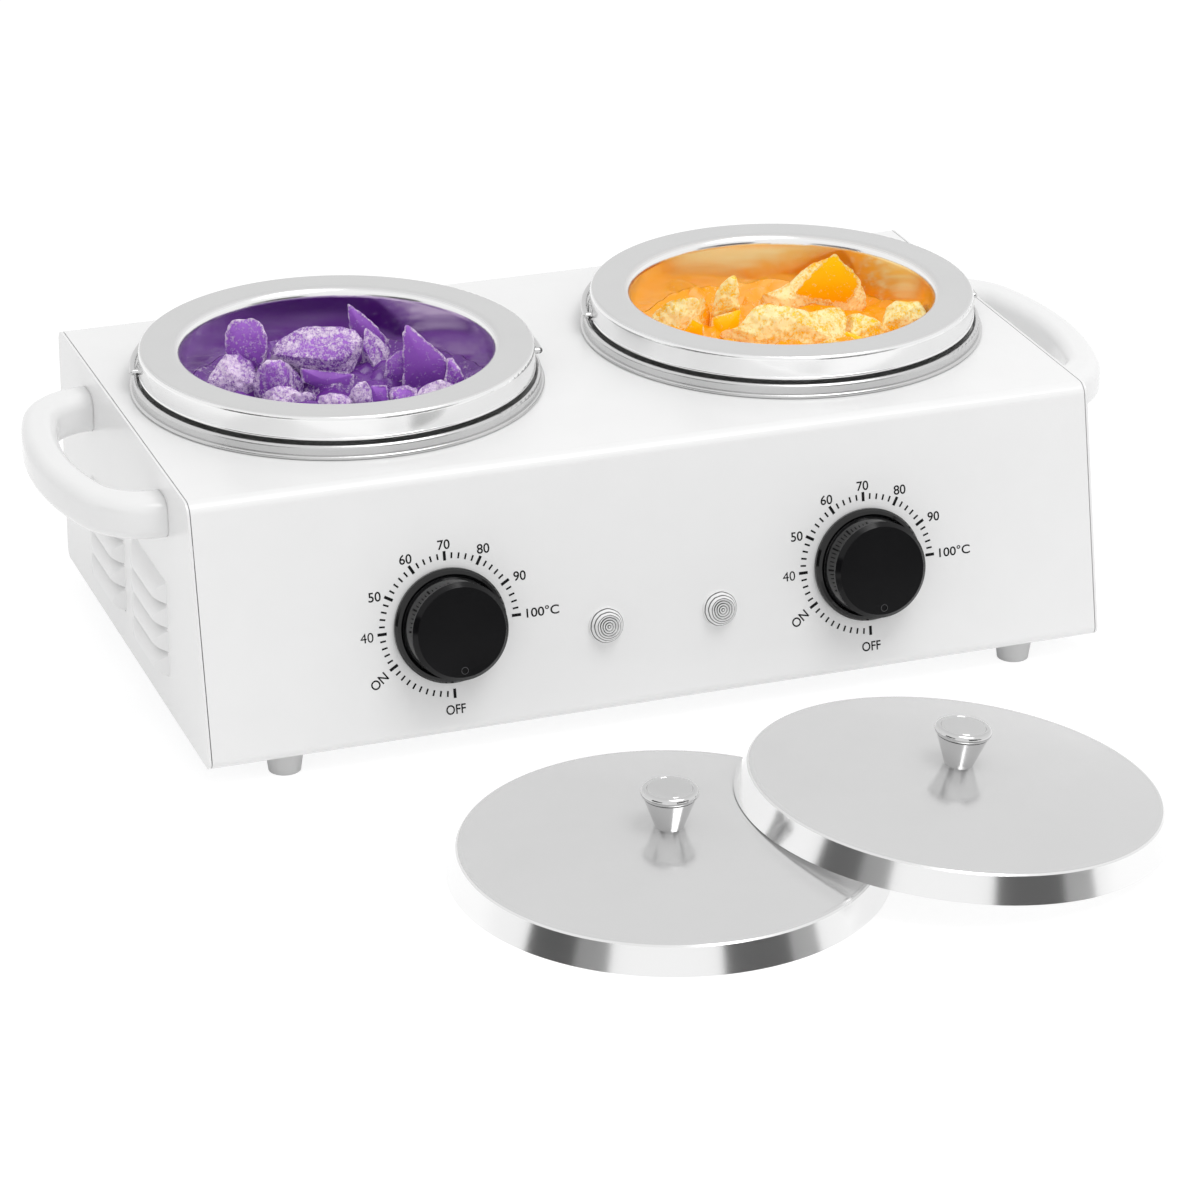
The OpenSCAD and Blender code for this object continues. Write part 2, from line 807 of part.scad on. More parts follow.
// Capillary thermostat behind the panel, with its bush and diaphragm
module thermostat(side) {
    color(zinc) home() on_front(side * knob_x, knob_z) difference() {
        union() {
            translate([-stat_w / 2, -stat_h / 2, -sheet_t - stat_d]) cube([stat_w, stat_h, stat_d]);
            translate([0, 0, -sheet_t]) cylinder(r = bush_r, h = sheet_t + bush_out);
            translate([0, 0, -stat_rear]) cylinder(r = diaphragm_r, h = diaphragm_h);
        }
        translate([0, 0, -sheet_t - spindle_in]) cylinder(r = spindle_r + fit, h = stat_d);
        for (end = [LEFT, RIGHT]) translate([end * stat_screw_x, 0, -sheet_t - screw_len])
            cylinder(r = screw_r + close_fit, h = screw_len + cut);
    }
}

module left_thermostat() {
    thermostat(LEFT);
}

module right_thermostat() {
    thermostat(RIGHT);
}

module thermostat_screws() {
    color(zinc) home() for (side = [LEFT, RIGHT], end = [LEFT, RIGHT])
        on_front(side * knob_x, knob_z) translate([end * stat_screw_x, 0, 0])
            pan_screw(screw_len);
}

// Sensor bulb in the heater's gap, with the capillary to the thermostat's diaphragm
module sensor_bulb(side) {
    bulb_x = side * (pot_x - sensor_x);
    bulb_z = heater_z + (heater_h - sensor_len) / 2;
    low_z = well_base_z;
    rear_y = front_y(knob_z) + stat_rear * cos(panel_tilt);
    rear_z = knob_z - stat_rear * sin(panel_tilt);
    back_y = rear_y + 2 * sensor_r;
    color(copper) home() {
        translate([bulb_x, pot_back, bulb_z]) cylinder(r = sensor_r, h = sensor_len);
        tube([[bulb_x, pot_back, bulb_z], [bulb_x, pot_back, low_z], [bulb_x, back_y, rear_z],
            [side * knob_x, back_y, rear_z], [side * knob_x, rear_y + capillary_r * tan(panel_tilt), rear_z]],
            capillary_r);
    }
}

module left_sensor_bulb() {
    sensor_bulb(LEFT);
}

module right_sensor_bulb() {
    sensor_bulb(RIGHT);
}

// Spindle with a flat for the knob; grow widens it for the knob's bore
module spindle_form(grow) {
    flat_from = bush_out + knob_gap;
    difference() {
        translate([0, 0, -sheet_t - spindle_in + fit])
            cylinder(r = spindle_r + grow, h = sheet_t + spindle_in - fit + spindle_out);
        translate([-spindle_r - cut, spindle_r - spindle_flat + grow, flat_from])
            cube([2 * (spindle_r + cut), spindle_r, spindle_out]);
    }
}

module left_spindle() {
    color(zinc) home() on_front(LEFT * knob_x, knob_z) spindle_form(0);
}

module right_spindle() {
    color(zinc) home() on_front(RIGHT * knob_x, knob_z) spindle_form(0);
}

// Stepped knob: dished skirt, tapered barrel, hollow back and a hub on the spindle
module knob(side) {
    hub_r = spindle_r + 3;
    color(black_plastic) home() on_front(side * knob_x, knob_z) difference() {
        rotate_extrude() polygon([[0, bush_out + fit], [hub_r, bush_out + fit], [hub_r, hollow_h],
            [hollow_r, hollow_h], [hollow_r, knob_gap], [knob_r, knob_gap], [knob_r, skirt_edge_h],
            [knob_r - cap_bevel, skirt_top - cap_bevel / 2], [barrel_r + cap_bevel, skirt_top],
            [barrel_r + cap_bevel / 2, skirt_top - cap_bevel / 2], [barrel_r, barrel_foot],
            [cap_r - cap_bevel, cap_seat], [0, cap_seat]]);
        spindle_form(close_fit);
    }
}

module left_knob() {
    knob(LEFT);
}

module right_knob() {
    knob(RIGHT);
}

// Turned front disc of the knob, with a dot that shows where it points
module knob_cap(side) {
    color(black_plastic) home() on_front(side * knob_x, knob_z) difference() {
        rotate_extrude() polygon([[0, cap_seat], [cap_r, cap_seat], [cap_r, knob_h - cap_edge],
            [cap_r - cap_edge, knob_h], [0, knob_h]]);
        translate([0, -cap_r + dot_inset, knob_h - dot_depth]) cylinder(r = dot_r, h = dot_depth + cut);
    }
}

module left_knob_cap() {
    knob_cap(LEFT);
}

module right_knob_cap() {
    knob_cap(RIGHT);
}

// Clear lens with concentric grooves in its face
module lamp_lens(side) {
    color(clear_lens) home() on_front(side * lamp_x, lamp_z) rotate_extrude() difference() {
        polygon([[0, lens_cavity_h], [lens_cavity_r, lens_cavity_h], [lens_cavity_r, lens_flange_h],
            [lamp_body_r + fit, lens_flange_h], [lamp_body_r + fit, 0], [lens_r, 0], [lens_r, lens_flange_h],
            [lens_front_r, lens_h], [0, lens_h]]);
        for (i = [1:lens_rings]) translate([i * lens_ring_pitch - lens_ring_w, lens_h - lens_ring_depth])
            square([lens_ring_w, lens_ring_depth + cut]);
    }
}

module left_lamp_lens() {
    lamp_lens(LEFT);
}

module right_lamp_lens() {
    lamp_lens(RIGHT);
}

// Threaded tube that carries the lens and the bulb
module lamp_body(side) {
    color(white_plastic) home() on_front(side * lamp_x, lamp_z) difference() {
        translate([0, 0, -lamp_body_len]) cylinder(r = lamp_body_r, h = lamp_body_len + lens_flange_h);
        translate([0, 0, -bulb_len - lens_flange_h])
            cylinder(r = lamp_bore_r, h = bulb_len + 2 * lens_flange_h + cut);
    }
}

module left_lamp_body() {
    lamp_body(LEFT);
}

module right_lamp_body() {
    lamp_body(RIGHT);
}

module lamp_nuts() {
    color(zinc) home() for (side = [LEFT, RIGHT]) on_front(side * lamp_x, lamp_z)
        translate([0, 0, -sheet_t - lamp_nut_h]) hex_nut(lamp_nut_af, lamp_nut_h, lamp_body_r + close_fit);
}

// Neon bulb standing on the bottom of the lamp body's bore
module lamp_bulb(side) {
    color(clear_lens) home() on_front(side * lamp_x, lamp_z) translate([0, 0, -bulb_len - lens_flange_h]) {
        cylinder(r = bulb_r, h = bulb_len - bulb_r);
        translate([0, 0, bulb_len - bulb_r]) sphere(bulb_r);
    }
}

module left_lamp_bulb() {
    lamp_bulb(LEFT);
}

module right_lamp_bulb() {
    lamp_bulb(RIGHT);
}

// Cord gland in the back panel, open for a round cord
module cord_gland() {
    color(black_plastic) home() on_back(gland_x, gland_z) difference() {
        union() {
            translate([0, 0, -gland_in]) cylinder(r = gland_r, h = gland_in);
            cylinder(r = gland_flange_r, h = gland_flange_t);
            translate([0, 0, gland_flange_t])
                cylinder(r1 = gland_r + cut, r2 = gland_nose_r, h = gland_out - gland_flange_t);
        }
        translate([0, 0, -gland_in - cut]) cylinder(r = gland_bore_r, h = gland_in + gland_out + 2 * cut);
    }
}

module gland_nut() {
    color(black_plastic) home() on_back(gland_x, gland_z) translate([0, 0, -sheet_t - gland_nut_h])
        hex_nut(gland_nut_af, gland_nut_h, gland_r + close_fit);
}

// Terminal block on the base plate, with a way for each wire
module terminal_block() {
    ways = 3;
    corner = [-block_size[0] / 2, block_y - block_size[1] / 2, base_top_z];
    color(white_plastic) home() translate(corner) difference() {
        cube(block_size);
        for (i = [1:ways]) translate([block_size[0] * i / (ways + 1), -cut, block_size[2] / 2])
            rotate([-90, 0, 0]) cylinder(r = block_hole_r, h = block_size[1] + 2 * cut);
    }
}

module earth_stud() {
    color(zinc) home() translate([stud_spot[0], stud_spot[1], base_top_z]) {
        cylinder(r = stud_r, h = stud_h);
        cylinder(r = nut_af / sqrt(3), h = nut_h, $fn = 6);
    }
}

// Drawn pot: rounded bottom, rolled lip, flat rim and turned-down skirt with a beaded edge
module pot(side) {
    lip_x = pot_r + lip_r;
    edge_x = rim_r - rim_edge_r;
    color(polished) home() at_pot(side, 0) difference() {
        rotate_extrude() {
            difference() {
                translate([0, pot_base_z]) cup_section(pot_out_r, pot_h - lip_r, pot_corner_r);
                translate([0, pot_base_z + pot_wall]) cup_section(pot_r, pot_h, pot_corner_r - pot_wall);
            }
            translate([lip_x, rim_z - lip_r]) mirror([1, 0]) bend_section(lip_r, pot_wall);
            translate([lip_x, rim_z - pot_wall]) square([edge_x - lip_x, pot_wall]);
            translate([edge_x, rim_z - rim_edge_r]) bend_section(rim_edge_r, pot_wall);
            translate([rim_r - pot_wall, rim_z - rim_skirt + rim_bead_r])
                square([pot_wall, rim_skirt - rim_bead_r - rim_edge_r]);
            translate([rim_r - pot_wall / 2, rim_z - rim_skirt + rim_bead_r]) circle(rim_bead_r);
        }
        for (end = [0, 1]) mirror([end, 0, 0])
            translate([pin_in_r, 0, pivot_z]) rotate([0, 90, 0])
                cylinder(r = pivot_hole_r, h = wire_arc_r - pin_in_r);
    }
}

module left_pot() {
    pot(LEFT);
}

module right_pot() {
    pot(RIGHT);
}

// Wire bail folded down behind its pot, its ends turned in through the rim's skirt
module bail(side) {
    color(polished) home() at_pot(side, pivot_z) {
        rotate_extrude(angle = 180) translate([wire_arc_r, 0]) circle(wire_r);
        for (end = [0, 1]) mirror([end, 0, 0]) {
            translate([wire_arc_r, 0, 0]) sphere(wire_r);
            translate([pin_in_r, 0, 0]) rotate([0, 90, 0]) cylinder(r = wire_r, h = wire_arc_r - pin_in_r);
            translate([pin_in_r - pin_head_t, 0, 0]) rotate([0, 90, 0])
                cylinder(r = pin_head_r, h = pin_head_t);
        }
    }
}

module left_bail() {
    bail(LEFT);
}

module right_bail() {
    bail(RIGHT);
}

// Frame of a lid, its skirt's edge on Z = 0: the right one leans on the left one's edge
module at_lid(side) {
    if (side == LEFT)
        translate([-lid_left, -lid_ahead, 0]) children();
    else
        translate([lid_step - lid_left + lid_bottom_r, -lid_ahead - lid_nearer, 0]) rotate([0, lid_lean, 0])
            translate([-lid_bottom_r, 0, 0]) children();
}

// Half section of a lid's outside, or of its inside where it is shrunk by the sheet
module lid_section(shrink) {
    edge_z = lid_h - shrink;
    translate([0, -shrink]) polygon([[0, 0], [lid_bottom_r - shrink, 0],
        [lid_shoulder_r - shrink, lid_h - lid_edge], [lid_top_r - shrink, lid_h - lid_edge / 3],
        [lid_top_r - lid_edge, lid_h], [0, lid_h]]);
    intersection() {
        translate([0, lid_h - lid_drop]) circle(lid_dome_r - shrink, $fn = lid_dome_fn);
        translate([0, edge_z]) square([lid_top_r, lid_crown]);
    }
}

// Spun lid: domed top with a flat seat, soft edge and flared skirt, drilled for the knob's screw
module lid(side) {
    color(steel) home() at_lid(side) difference() {
        rotate_extrude() difference() {
            lid_section(0);
            lid_section(lid_t);
        }
        translate([0, 0, lid_seat_z - lid_t - cut]) cylinder(r = screw_r + close_fit, h = lid_t + 2 * cut);
    }
}

module left_lid() {
    lid(LEFT);
}

module right_lid() {
    lid(RIGHT);
}

// Turned lid knob: a cone on its narrow end, with a soft band round its flat top
module lid_knob(side) {
    band_z = lid_knob_h - lid_band_h;
    color(polished) home() at_lid(side) translate([0, 0, lid_seat_z]) difference() {
        rotate_extrude() {
            polygon([[0, 0], [lid_knob_foot_r, 0], [lid_knob_r - lid_edge, band_z], [0, band_z]]);
            translate([0, band_z]) square([lid_knob_r - lid_band_h / 2, lid_band_h]);
            translate([lid_knob_r - lid_band_h / 2, band_z + lid_band_h / 2]) circle(lid_band_h / 2);
        }
        translate([0, 0, -cut]) cylinder(r = screw_r + close_fit, h = screw_len + cut);
    }
}

module left_lid_knob() {
    lid_knob(LEFT);
}

module right_lid_knob() {
    lid_knob(RIGHT);
}

// Screw up through the lid into its knob
module lid_screw(side) {
    color(zinc) home() at_lid(side) translate([0, 0, lid_seat_z - lid_t]) rotate([180, 0, 0])
        pan_screw(screw_len - cut);
}

module left_lid_screw() {
    lid_screw(LEFT);
}

module right_lid_screw() {
    lid_screw(RIGHT);
}

housing_wrap();
left_end_panel();
right_end_panel();
base_plate();
front_left_foot();
front_right_foot();
rear_left_foot();
rear_right_foot();
foot_screws();
base_screws();
back_screws();
left_handle();
right_handle();
handle_screws();
left_heating_well();
right_heating_well();
left_collar_ring();
right_collar_ring();
left_heater_band();
right_heater_band();
heater_clamp_screws();
left_tie_rod();
right_tie_rod();
tie_rod_nuts();
left_thermal_cutout();
right_thermal_cutout();
left_thermostat();
right_thermostat();
thermostat_screws();
left_sensor_bulb();
right_sensor_bulb();
left_spindle();
right_spindle();
left_knob();
right_knob();
left_knob_cap();
right_knob_cap();
left_lamp_lens();
right_lamp_lens();
left_lamp_body();
right_lamp_body();
lamp_nuts();
left_lamp_bulb();
right_lamp_bulb();
cord_gland();
gland_nut();
terminal_block();
earth_stud();
left_pot();
right_pot();
left_bail();
right_bail();
left_lid();
right_lid();
left_lid_knob();
right_lid_knob();
left_lid_screw();
right_lid_screw();
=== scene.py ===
"""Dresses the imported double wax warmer: finishes, wax, dial print, grips, camera and light."""

import logging
import math
from dataclasses import dataclass
from enum import Enum

import bpy
import numpy as np
from mathutils import Euler, Matrix, Vector


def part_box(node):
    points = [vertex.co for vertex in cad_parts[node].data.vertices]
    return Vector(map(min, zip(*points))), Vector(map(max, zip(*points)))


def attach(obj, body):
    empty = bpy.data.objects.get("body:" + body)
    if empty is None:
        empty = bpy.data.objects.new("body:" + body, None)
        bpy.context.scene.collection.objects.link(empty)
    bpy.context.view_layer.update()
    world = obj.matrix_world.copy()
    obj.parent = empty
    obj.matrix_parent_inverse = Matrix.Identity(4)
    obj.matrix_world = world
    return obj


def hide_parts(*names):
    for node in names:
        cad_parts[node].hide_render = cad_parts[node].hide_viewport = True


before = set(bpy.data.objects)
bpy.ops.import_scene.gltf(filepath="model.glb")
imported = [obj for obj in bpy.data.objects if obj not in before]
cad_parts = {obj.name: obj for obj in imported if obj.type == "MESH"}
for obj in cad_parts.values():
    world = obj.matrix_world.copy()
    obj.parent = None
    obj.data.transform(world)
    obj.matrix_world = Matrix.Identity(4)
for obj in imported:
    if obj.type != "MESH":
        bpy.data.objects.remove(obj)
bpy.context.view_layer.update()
MM = 0.001
# Lowest and highest corner of some CAD nodes, in millimetres
WRAP, POT, LEFT_LID, RIGHT_LID = (np.array(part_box(node)) / MM
                                  for node in ("housing_wrap", "right_pot", "left_lid", "right_lid"))
# Half the depth of the housing's top, whose back the frame gives
HALF_DEPTH = 105.75
HOME_Y = WRAP[1, 1] - HALF_DEPTH
# How far the panel's foot lies before its top, which makes it lean back
FRONT_LEAN = 23.6
PANEL_TILT = math.atan2(FRONT_LEAN, WRAP[1, 2] - WRAP[0, 2])
# Axis of the right pot and height of both rims
POT_X, POT_Y, RIM_Z = *POT.mean(axis=0)[:2], POT[1, 2]
LOG = logging.getLogger("warmer")
logging.basicConfig(level=logging.INFO, format="%(message)s")


class Side(Enum):
    """Left or right half of the warmer, with its sign along X."""

    LEFT = -1
    RIGHT = 1

    @property
    def word(self) -> str:
        """The side's name as the CAD nodes spell it."""
        return self.name.lower()


class Grain(Enum):
    """How a surface was made, which gives the pattern that its material draws."""

    SPRAYED = "orange peel of sprayed and baked enamel"
    MOULDED = "fine even texture from a steel mould"
    SPUN = "turning lines round the piece's own axis"
    DRAWN = "fine lines along the pull"
    CAST = "soft blotches of moulded rubber or plated sheet"
    PLAIN = "smooth, with faint smudges only"


def linear(hex_colour: str) -> tuple[float, float, float, float]:
    """Turns an sRGB hex colour into linear light.

    Args:
        hex_colour: six hex digits after a hash sign.

    Returns:
        Linear red, green and blue, and full cover.
    """
    raw = [int(hex_colour[i:i + 2], 16) / 255 for i in (1, 3, 5)]
    red, green, blue = (c / 12.92 if c <= 0.04045 else ((c + 0.055) / 1.055) ** 2.4 for c in raw)
    return red, green, blue, 1.0


def bare_tree(owner: bpy.types.Material | bpy.types.World) -> bpy.types.NodeTree:
    """Takes away the nodes that a new material or world starts with.

    Args:
        owner: the material or world.

    Returns:
        Its empty node tree.
    """
    owner.use_nodes = True
    owner.node_tree.nodes.clear()
    return owner.node_tree


def add(tree: bpy.types.NodeTree, kind: str, values: dict | None = None,
        links: dict | None = None, **settings: object) -> bpy.types.Node:
    """Adds one node with its settings, socket values and incoming links.

    Args:
        tree: node tree that gets the node.
        kind: Blender's node type name.
        values: socket name or number to a constant.
        links: socket name or number to an output socket of another node.
        settings: the node's own properties.

    Returns:
        The new node.
    """
    node = tree.nodes.new(kind)
    for key, value in settings.items():
        setattr(node, key, value)
    for key, value in (values or {}).items():
        node.inputs[key].default_value = value
    for key, socket in (links or {}).items():
        tree.links.new(socket, node.inputs[key])
    return node


def shown(tree: bpy.types.NodeTree) -> bpy.types.NodeSocket:
    """Tells rays that show the background from rays that light the object.

    Args:
        tree: node tree to extend.

    Returns:
        Socket that is 1 for the camera, for mirrors and through glass, and 0 for other light.
    """
    path = add(tree, "ShaderNodeLightPath").outputs
    seen = path["Is Camera Ray"]
    for ray in ("Is Glossy Ray", "Is Transmission Ray"):
        seen = add(tree, "ShaderNodeMath", None, {0: seen, 1: path[ray]}, operation="MAXIMUM").outputs[0]
    return seen


@dataclass(frozen=True)
class Finish:
    """One real material: its colours, gloss and the pattern of how it was made.

    Attributes:
        name: common name of the material.
        colour: main colour.
        shade: colour of its darker or lighter patches.
        grain: how the surface was made.
        grain_mm: real size of one mark of the pattern.
        depth_mm: height of the marks.
        roughness: mean roughness.
        spread: change of roughness from patch to patch.
        metallic: 1 for bare metal.
        ior: refractive index of a plastic, paint or glass.
        transmission: share of light that goes through.
        painted_side_colour: lighter colour of its steep sides, a painted brightness on top of their real
            higher polish.
        side_roughness: mean roughness of those sides.
        steep: upward part of the normal where the sides end, and where what faces up starts.
        bands: heights of the marks where a painted shade starts and is full, if they change the colour too.
        patch_mm: size of a patch.
        least: lowest roughness of a patch.
        stretch: how much longer than wide a drawn mark is.
    """

    name: str
    colour: str
    shade: str
    grain: Grain
    grain_mm: float
    depth_mm: float
    roughness: float
    spread: float = 0.03
    metallic: float = 0.0
    ior: float = 1.5
    transmission: float = 0.0
    painted_side_colour: str | None = None
    side_roughness: float = 0.1
    steep: tuple = (0.6, 0.93)
    bands: tuple | None = None
    patch_mm: float = 24.0
    least: float = 0.02
    stretch: float = 25.0

    def material(self, axis: Matrix | None = None, suffix: str = "") -> bpy.types.Material:
        """Builds the material.

        Args:
            axis: frame whose Z is the axis that turned lines run round.
            suffix: added to the name where one finish has several axes.

        Returns:
            The finished material.
        """
        key = self.name + suffix
        if key in bpy.data.materials:
            return bpy.data.materials[key]
        made = bpy.data.materials.new(key)
        tree = bare_tree(made)
        where = add(tree, "ShaderNodeTexCoord").outputs
        place = where["Object"]
        if axis is not None:
            place = add(tree, "ShaderNodeMapping",
                        {"Location": axis.translation, "Rotation": axis.to_euler()},
                        {"Vector": place}, vector_type="TEXTURE").outputs["Vector"]
        marks = self._marks(tree, place)
        patch = add(tree, "ShaderNodeTexNoise", {"Scale": 1 / (self.patch_mm * MM), "Detail": 3.0},
                    {"Vector": place}).outputs["Fac"]
        tint = patch
        # Painted shade: where these heights are given, the marks darken the colour, as on the lenses' rings
        if self.bands is not None:
            tint = add(tree, "ShaderNodeMapRange", {"From Min": self.bands[0], "From Max": self.bands[1]},
                       {"Value": marks}).outputs["Result"]
        colour = add(tree, "ShaderNodeMix", {6: linear(self.colour), 7: linear(self.shade)}, {0: tint},
                     data_type="RGBA").outputs[2]
        low, high = max(self.roughness - self.spread, self.least), self.roughness + self.spread
        rough = add(tree, "ShaderNodeMapRange", {"To Min": low, "To Max": high},
                    {"Value": patch}).outputs["Result"]
        bump = add(tree, "ShaderNodeBump", {"Strength": 1.0, "Distance": self.depth_mm * MM},
                   {"Height": marks}).outputs["Normal"]
        looks = {"Base Color": colour, "Roughness": rough, "Normal": bump}
        if self.painted_side_colour is not None:
            looks |= self._sides(tree, where["Normal"], colour, rough)
        shader = add(tree, "ShaderNodeBsdfPrincipled", {
            "Metallic": self.metallic, "IOR": self.ior, "Transmission Weight": self.transmission}, looks)
        add(tree, "ShaderNodeOutputMaterial", None, {"Surface": shader.outputs["BSDF"]})
        return made

    def _sides(self, tree: bpy.types.NodeTree, normal: bpy.types.NodeSocket, colour: bpy.types.NodeSocket,
               rough: bpy.types.NodeSocket) -> dict[str, bpy.types.NodeSocket]:
        """Blends bright metal on the steep sides into what faces up, by the upward part of the normal; the
        lighter side colour is painted brightness, the lower roughness their real polish.

        Args:
            tree: node tree of the material.
            normal: direction of the surface.
            colour: colour of what faces up.
            rough: roughness of what faces up.

        Returns:
            The shader's socket names with the blended colour, roughness and metal.
        """
        facing = add(tree, "ShaderNodeSeparateXYZ", None, {0: normal}).outputs["Z"]
        upward = add(tree, "ShaderNodeMapRange", {"From Min": self.steep[0], "From Max": self.steep[1]},
                     {"Value": facing}).outputs["Result"]
        gloss = add(tree, "ShaderNodeMapRange", {"To Min": self.side_roughness},
                    {"Value": upward, "To Max": rough})
        # Painted brightness: the steep sides get a lighter colour than what faces up
        tint = add(tree, "ShaderNodeMix", {6: linear(self.painted_side_colour)}, {0: upward, 7: colour},
                   data_type="RGBA")
        metal = add(tree, "ShaderNodeMapRange", {"To Min": 1.0, "To Max": self.metallic}, {"Value": upward})
        return {"Base Color": tint.outputs[2], "Roughness": gloss.outputs["Result"],
                "Metallic": metal.outputs["Result"]}

    def _marks(self, tree: bpy.types.NodeTree, place: bpy.types.NodeSocket) -> bpy.types.NodeSocket:
        """Height pattern of the surface at its real scale.

        Args:
            tree: node tree of the material.
            place: coordinates of the pattern.

        Returns:
            Socket with the height.
        """
        if self.grain is Grain.SPUN:
            # Rings of scale 1 are pi / 10 apart
            rings = add(tree, "ShaderNodeTexWave",
                        {"Scale": math.pi / (10 * self.grain_mm * MM), "Distortion": 1.5, "Detail": 2.0},
                        {"Vector": place}, wave_type="RINGS", rings_direction="Z")
            return rings.outputs["Fac"]
        if self.grain is Grain.DRAWN:
            place = add(tree, "ShaderNodeMapping", {"Scale": (1 / self.stretch, 1.0, 1.0)},
                        {"Vector": place}).outputs["Vector"]
        speck = add(tree, "ShaderNodeTexNoise", {"Scale": 1 / (self.grain_mm * MM), "Detail": 2.0},
                    {"Vector": place})
        return speck.outputs["Fac"]


@dataclass(frozen=True)
class Wax:
    """Hard wax broken from a block: clear coloured inside, frosty where it broke or rubbed.

    Attributes:
        name: common name of the material.
        deep: colour of a clean break in painted shade, low on a face and on the sides and backs.
        bright: colour of a clean break in painted light, high on a face, standing in for light that comes
            through the wax.
        frost: colour of the frosty skin.
        rime: colour of its whitest grains.
        grain_mm: size of one grain of the frost.
        glow: painted light, an emission in the wax's own colour that stands in for light coming through it
            from behind.
        clump: grains across one clump of frost.
        cover: frost at which the skin starts to show, and at which it hides the inside.
        clean_rough: roughness of a clean break.
        skin_rough: roughness of the frosty skin.
        skin_mm: height of the frost.
        scatter_mm: distance that light scatters inside.
        ior: refractive index.
    """

    name: str
    deep: str
    bright: str
    frost: str
    rime: str
    grain_mm: float = 0.9
    glow: float = 0.13
    clump: float = 3.0
    cover: tuple = (0.35, 0.95)
    clean_rough: float = 0.22
    skin_rough: float = 0.75
    skin_mm: float = 0.45
    scatter_mm: float = 2.5
    ior: float = 1.44

    def material(self) -> bpy.types.Material:
        """Builds the material, which reads how frosty the pieces are and their share of painted light.

        Returns:
            The finished material.
        """
        made = bpy.data.materials.new(self.name)
        tree = bare_tree(made)
        place = add(tree, "ShaderNodeTexCoord").outputs["Object"]
        frost = add(tree, "ShaderNodeAttribute", attribute_name="frost").outputs["Fac"]
        thin = add(tree, "ShaderNodeAttribute", attribute_name="thin").outputs["Fac"]
        grain = add(tree, "ShaderNodeTexNoise",
                    {"Scale": 1 / (self.grain_mm * MM), "Detail": 3.0, "Roughness": 0.65},
                    {"Vector": place}).outputs["Fac"]
        patch = add(tree, "ShaderNodeTexNoise",
                    {"Scale": 1 / (self.clump * self.grain_mm * MM), "Detail": 4.0},
                    {"Vector": place}).outputs["Fac"]
        # The two noises add up to about 1 and seldom leave the range below
        both = add(tree, "ShaderNodeMath", None, {0: grain, 1: patch}, operation="ADD").outputs[0]
        speck = add(tree, "ShaderNodeMapRange",
                    {"From Min": 0.75, "From Max": 1.25, "To Min": -0.5, "To Max": 0.5},
                    {"Value": both}).outputs["Result"]
        frosty = add(tree, "ShaderNodeMath", None, {0: frost, 1: speck}, operation="ADD").outputs[0]
        cover = add(tree, "ShaderNodeMapRange", {"From Min": self.cover[0], "From Max": self.cover[1]},
                    {"Value": frosty}).outputs["Result"]
        # Painted light and shade: the clean wax runs from deep to bright by its painted share of light
        inside = add(tree, "ShaderNodeMix", {6: linear(self.deep), 7: linear(self.bright)}, {0: thin},
                     data_type="RGBA").outputs[2]
        skin = add(tree, "ShaderNodeMix", {6: linear(self.frost), 7: linear(self.rime)}, {0: grain},
                   data_type="RGBA").outputs[2]
        colour = add(tree, "ShaderNodeMix", None, {0: cover, 6: inside, 7: skin}, data_type="RGBA").outputs[2]
        rough = add(tree, "ShaderNodeMapRange", {"To Min": self.clean_rough, "To Max": self.skin_rough},
                    {"Value": cover}).outputs["Result"]
        bump = add(tree, "ShaderNodeBump", {"Strength": 0.7, "Distance": self.skin_mm * MM},
                   {"Height": cover}).outputs["Normal"]
        # Painted light: the wax emits its own colour, as if lit through from behind, though it is no lamp
        shader = add(tree, "ShaderNodeBsdfPrincipled",
                     {"IOR": self.ior, "Subsurface Weight": 0.2, "Subsurface Scale": self.scatter_mm * MM,
                      "Subsurface Radius": (1.0, 0.8, 0.9), "Emission Strength": self.glow},
                     {"Base Color": colour, "Emission Color": colour, "Roughness": rough, "Normal": bump})
        add(tree, "ShaderNodeOutputMaterial", None, {"Surface": shader.outputs["BSDF"]})
        return made


# White polyester enamel, sprayed and baked on sheet steel: soft gloss with a faint orange peel
ENAMEL = Finish("baked_white_enamel", "#f4f4f4", "#f0f0f0", Grain.SPRAYED, 1.6, 0.012, 0.24)
# White ABS of the handles, out of a polished mould: a sharper gloss than the enamel's
WHITE_ABS = Finish("moulded_white_abs", "#f3f3f3", "#efefef", Grain.MOULDED, 0.5, 0.002, 0.13)
# Black ABS of the knobs and the gland, out of a polished mould: deep black with a clear gloss
BLACK_ABS = Finish("moulded_black_abs", "#070708", "#0b0b0c", Grain.MOULDED, 1.2, 0.001, 0.09, ior=1.46)
# Face of the knob caps, turned: fine rings that take the gloss down
TURNED_ABS = Finish("turned_black_abs", "#08080a", "#0c0c0e", Grain.SPUN, 0.5, 0.004, 0.17, ior=1.3)
# Stainless steel lids, spun on the lathe: a satin top, which mixes metal with a grey that mirrors little, and
# a polished skirt, painted brighter than the top; the rings are drawn as coarse as they need to show
SPUN_STEEL = Finish("spun_stainless_steel", "#d5d5d5", "#d1d1d1", Grain.SPUN, 0.6, 0.0004, 0.16,
                    metallic=0.6, ior=1.1, painted_side_colour="#f2f2f2", side_roughness=0.15)
# Stainless steel pots, drawn: a satin rim mixed in the same way, with a polished skirt and inside, painted
# brighter than the rim
POT_STEEL = Finish("drawn_stainless_steel", "#d3d3d3", "#cecece", Grain.SPUN, 0.6, 0.0006, 0.25,
                   metallic=0.5, ior=1.1, painted_side_colour="#f0f0f0", side_roughness=0.17)
# Satin stainless steel collars: bare metal with a broad soft gloss
SATIN_STEEL = Finish("satin_stainless_steel", "#d4d4d4", "#c9c9c9", Grain.SPUN, 0.6, 0.0006, 0.26, 0.04, 1.0)
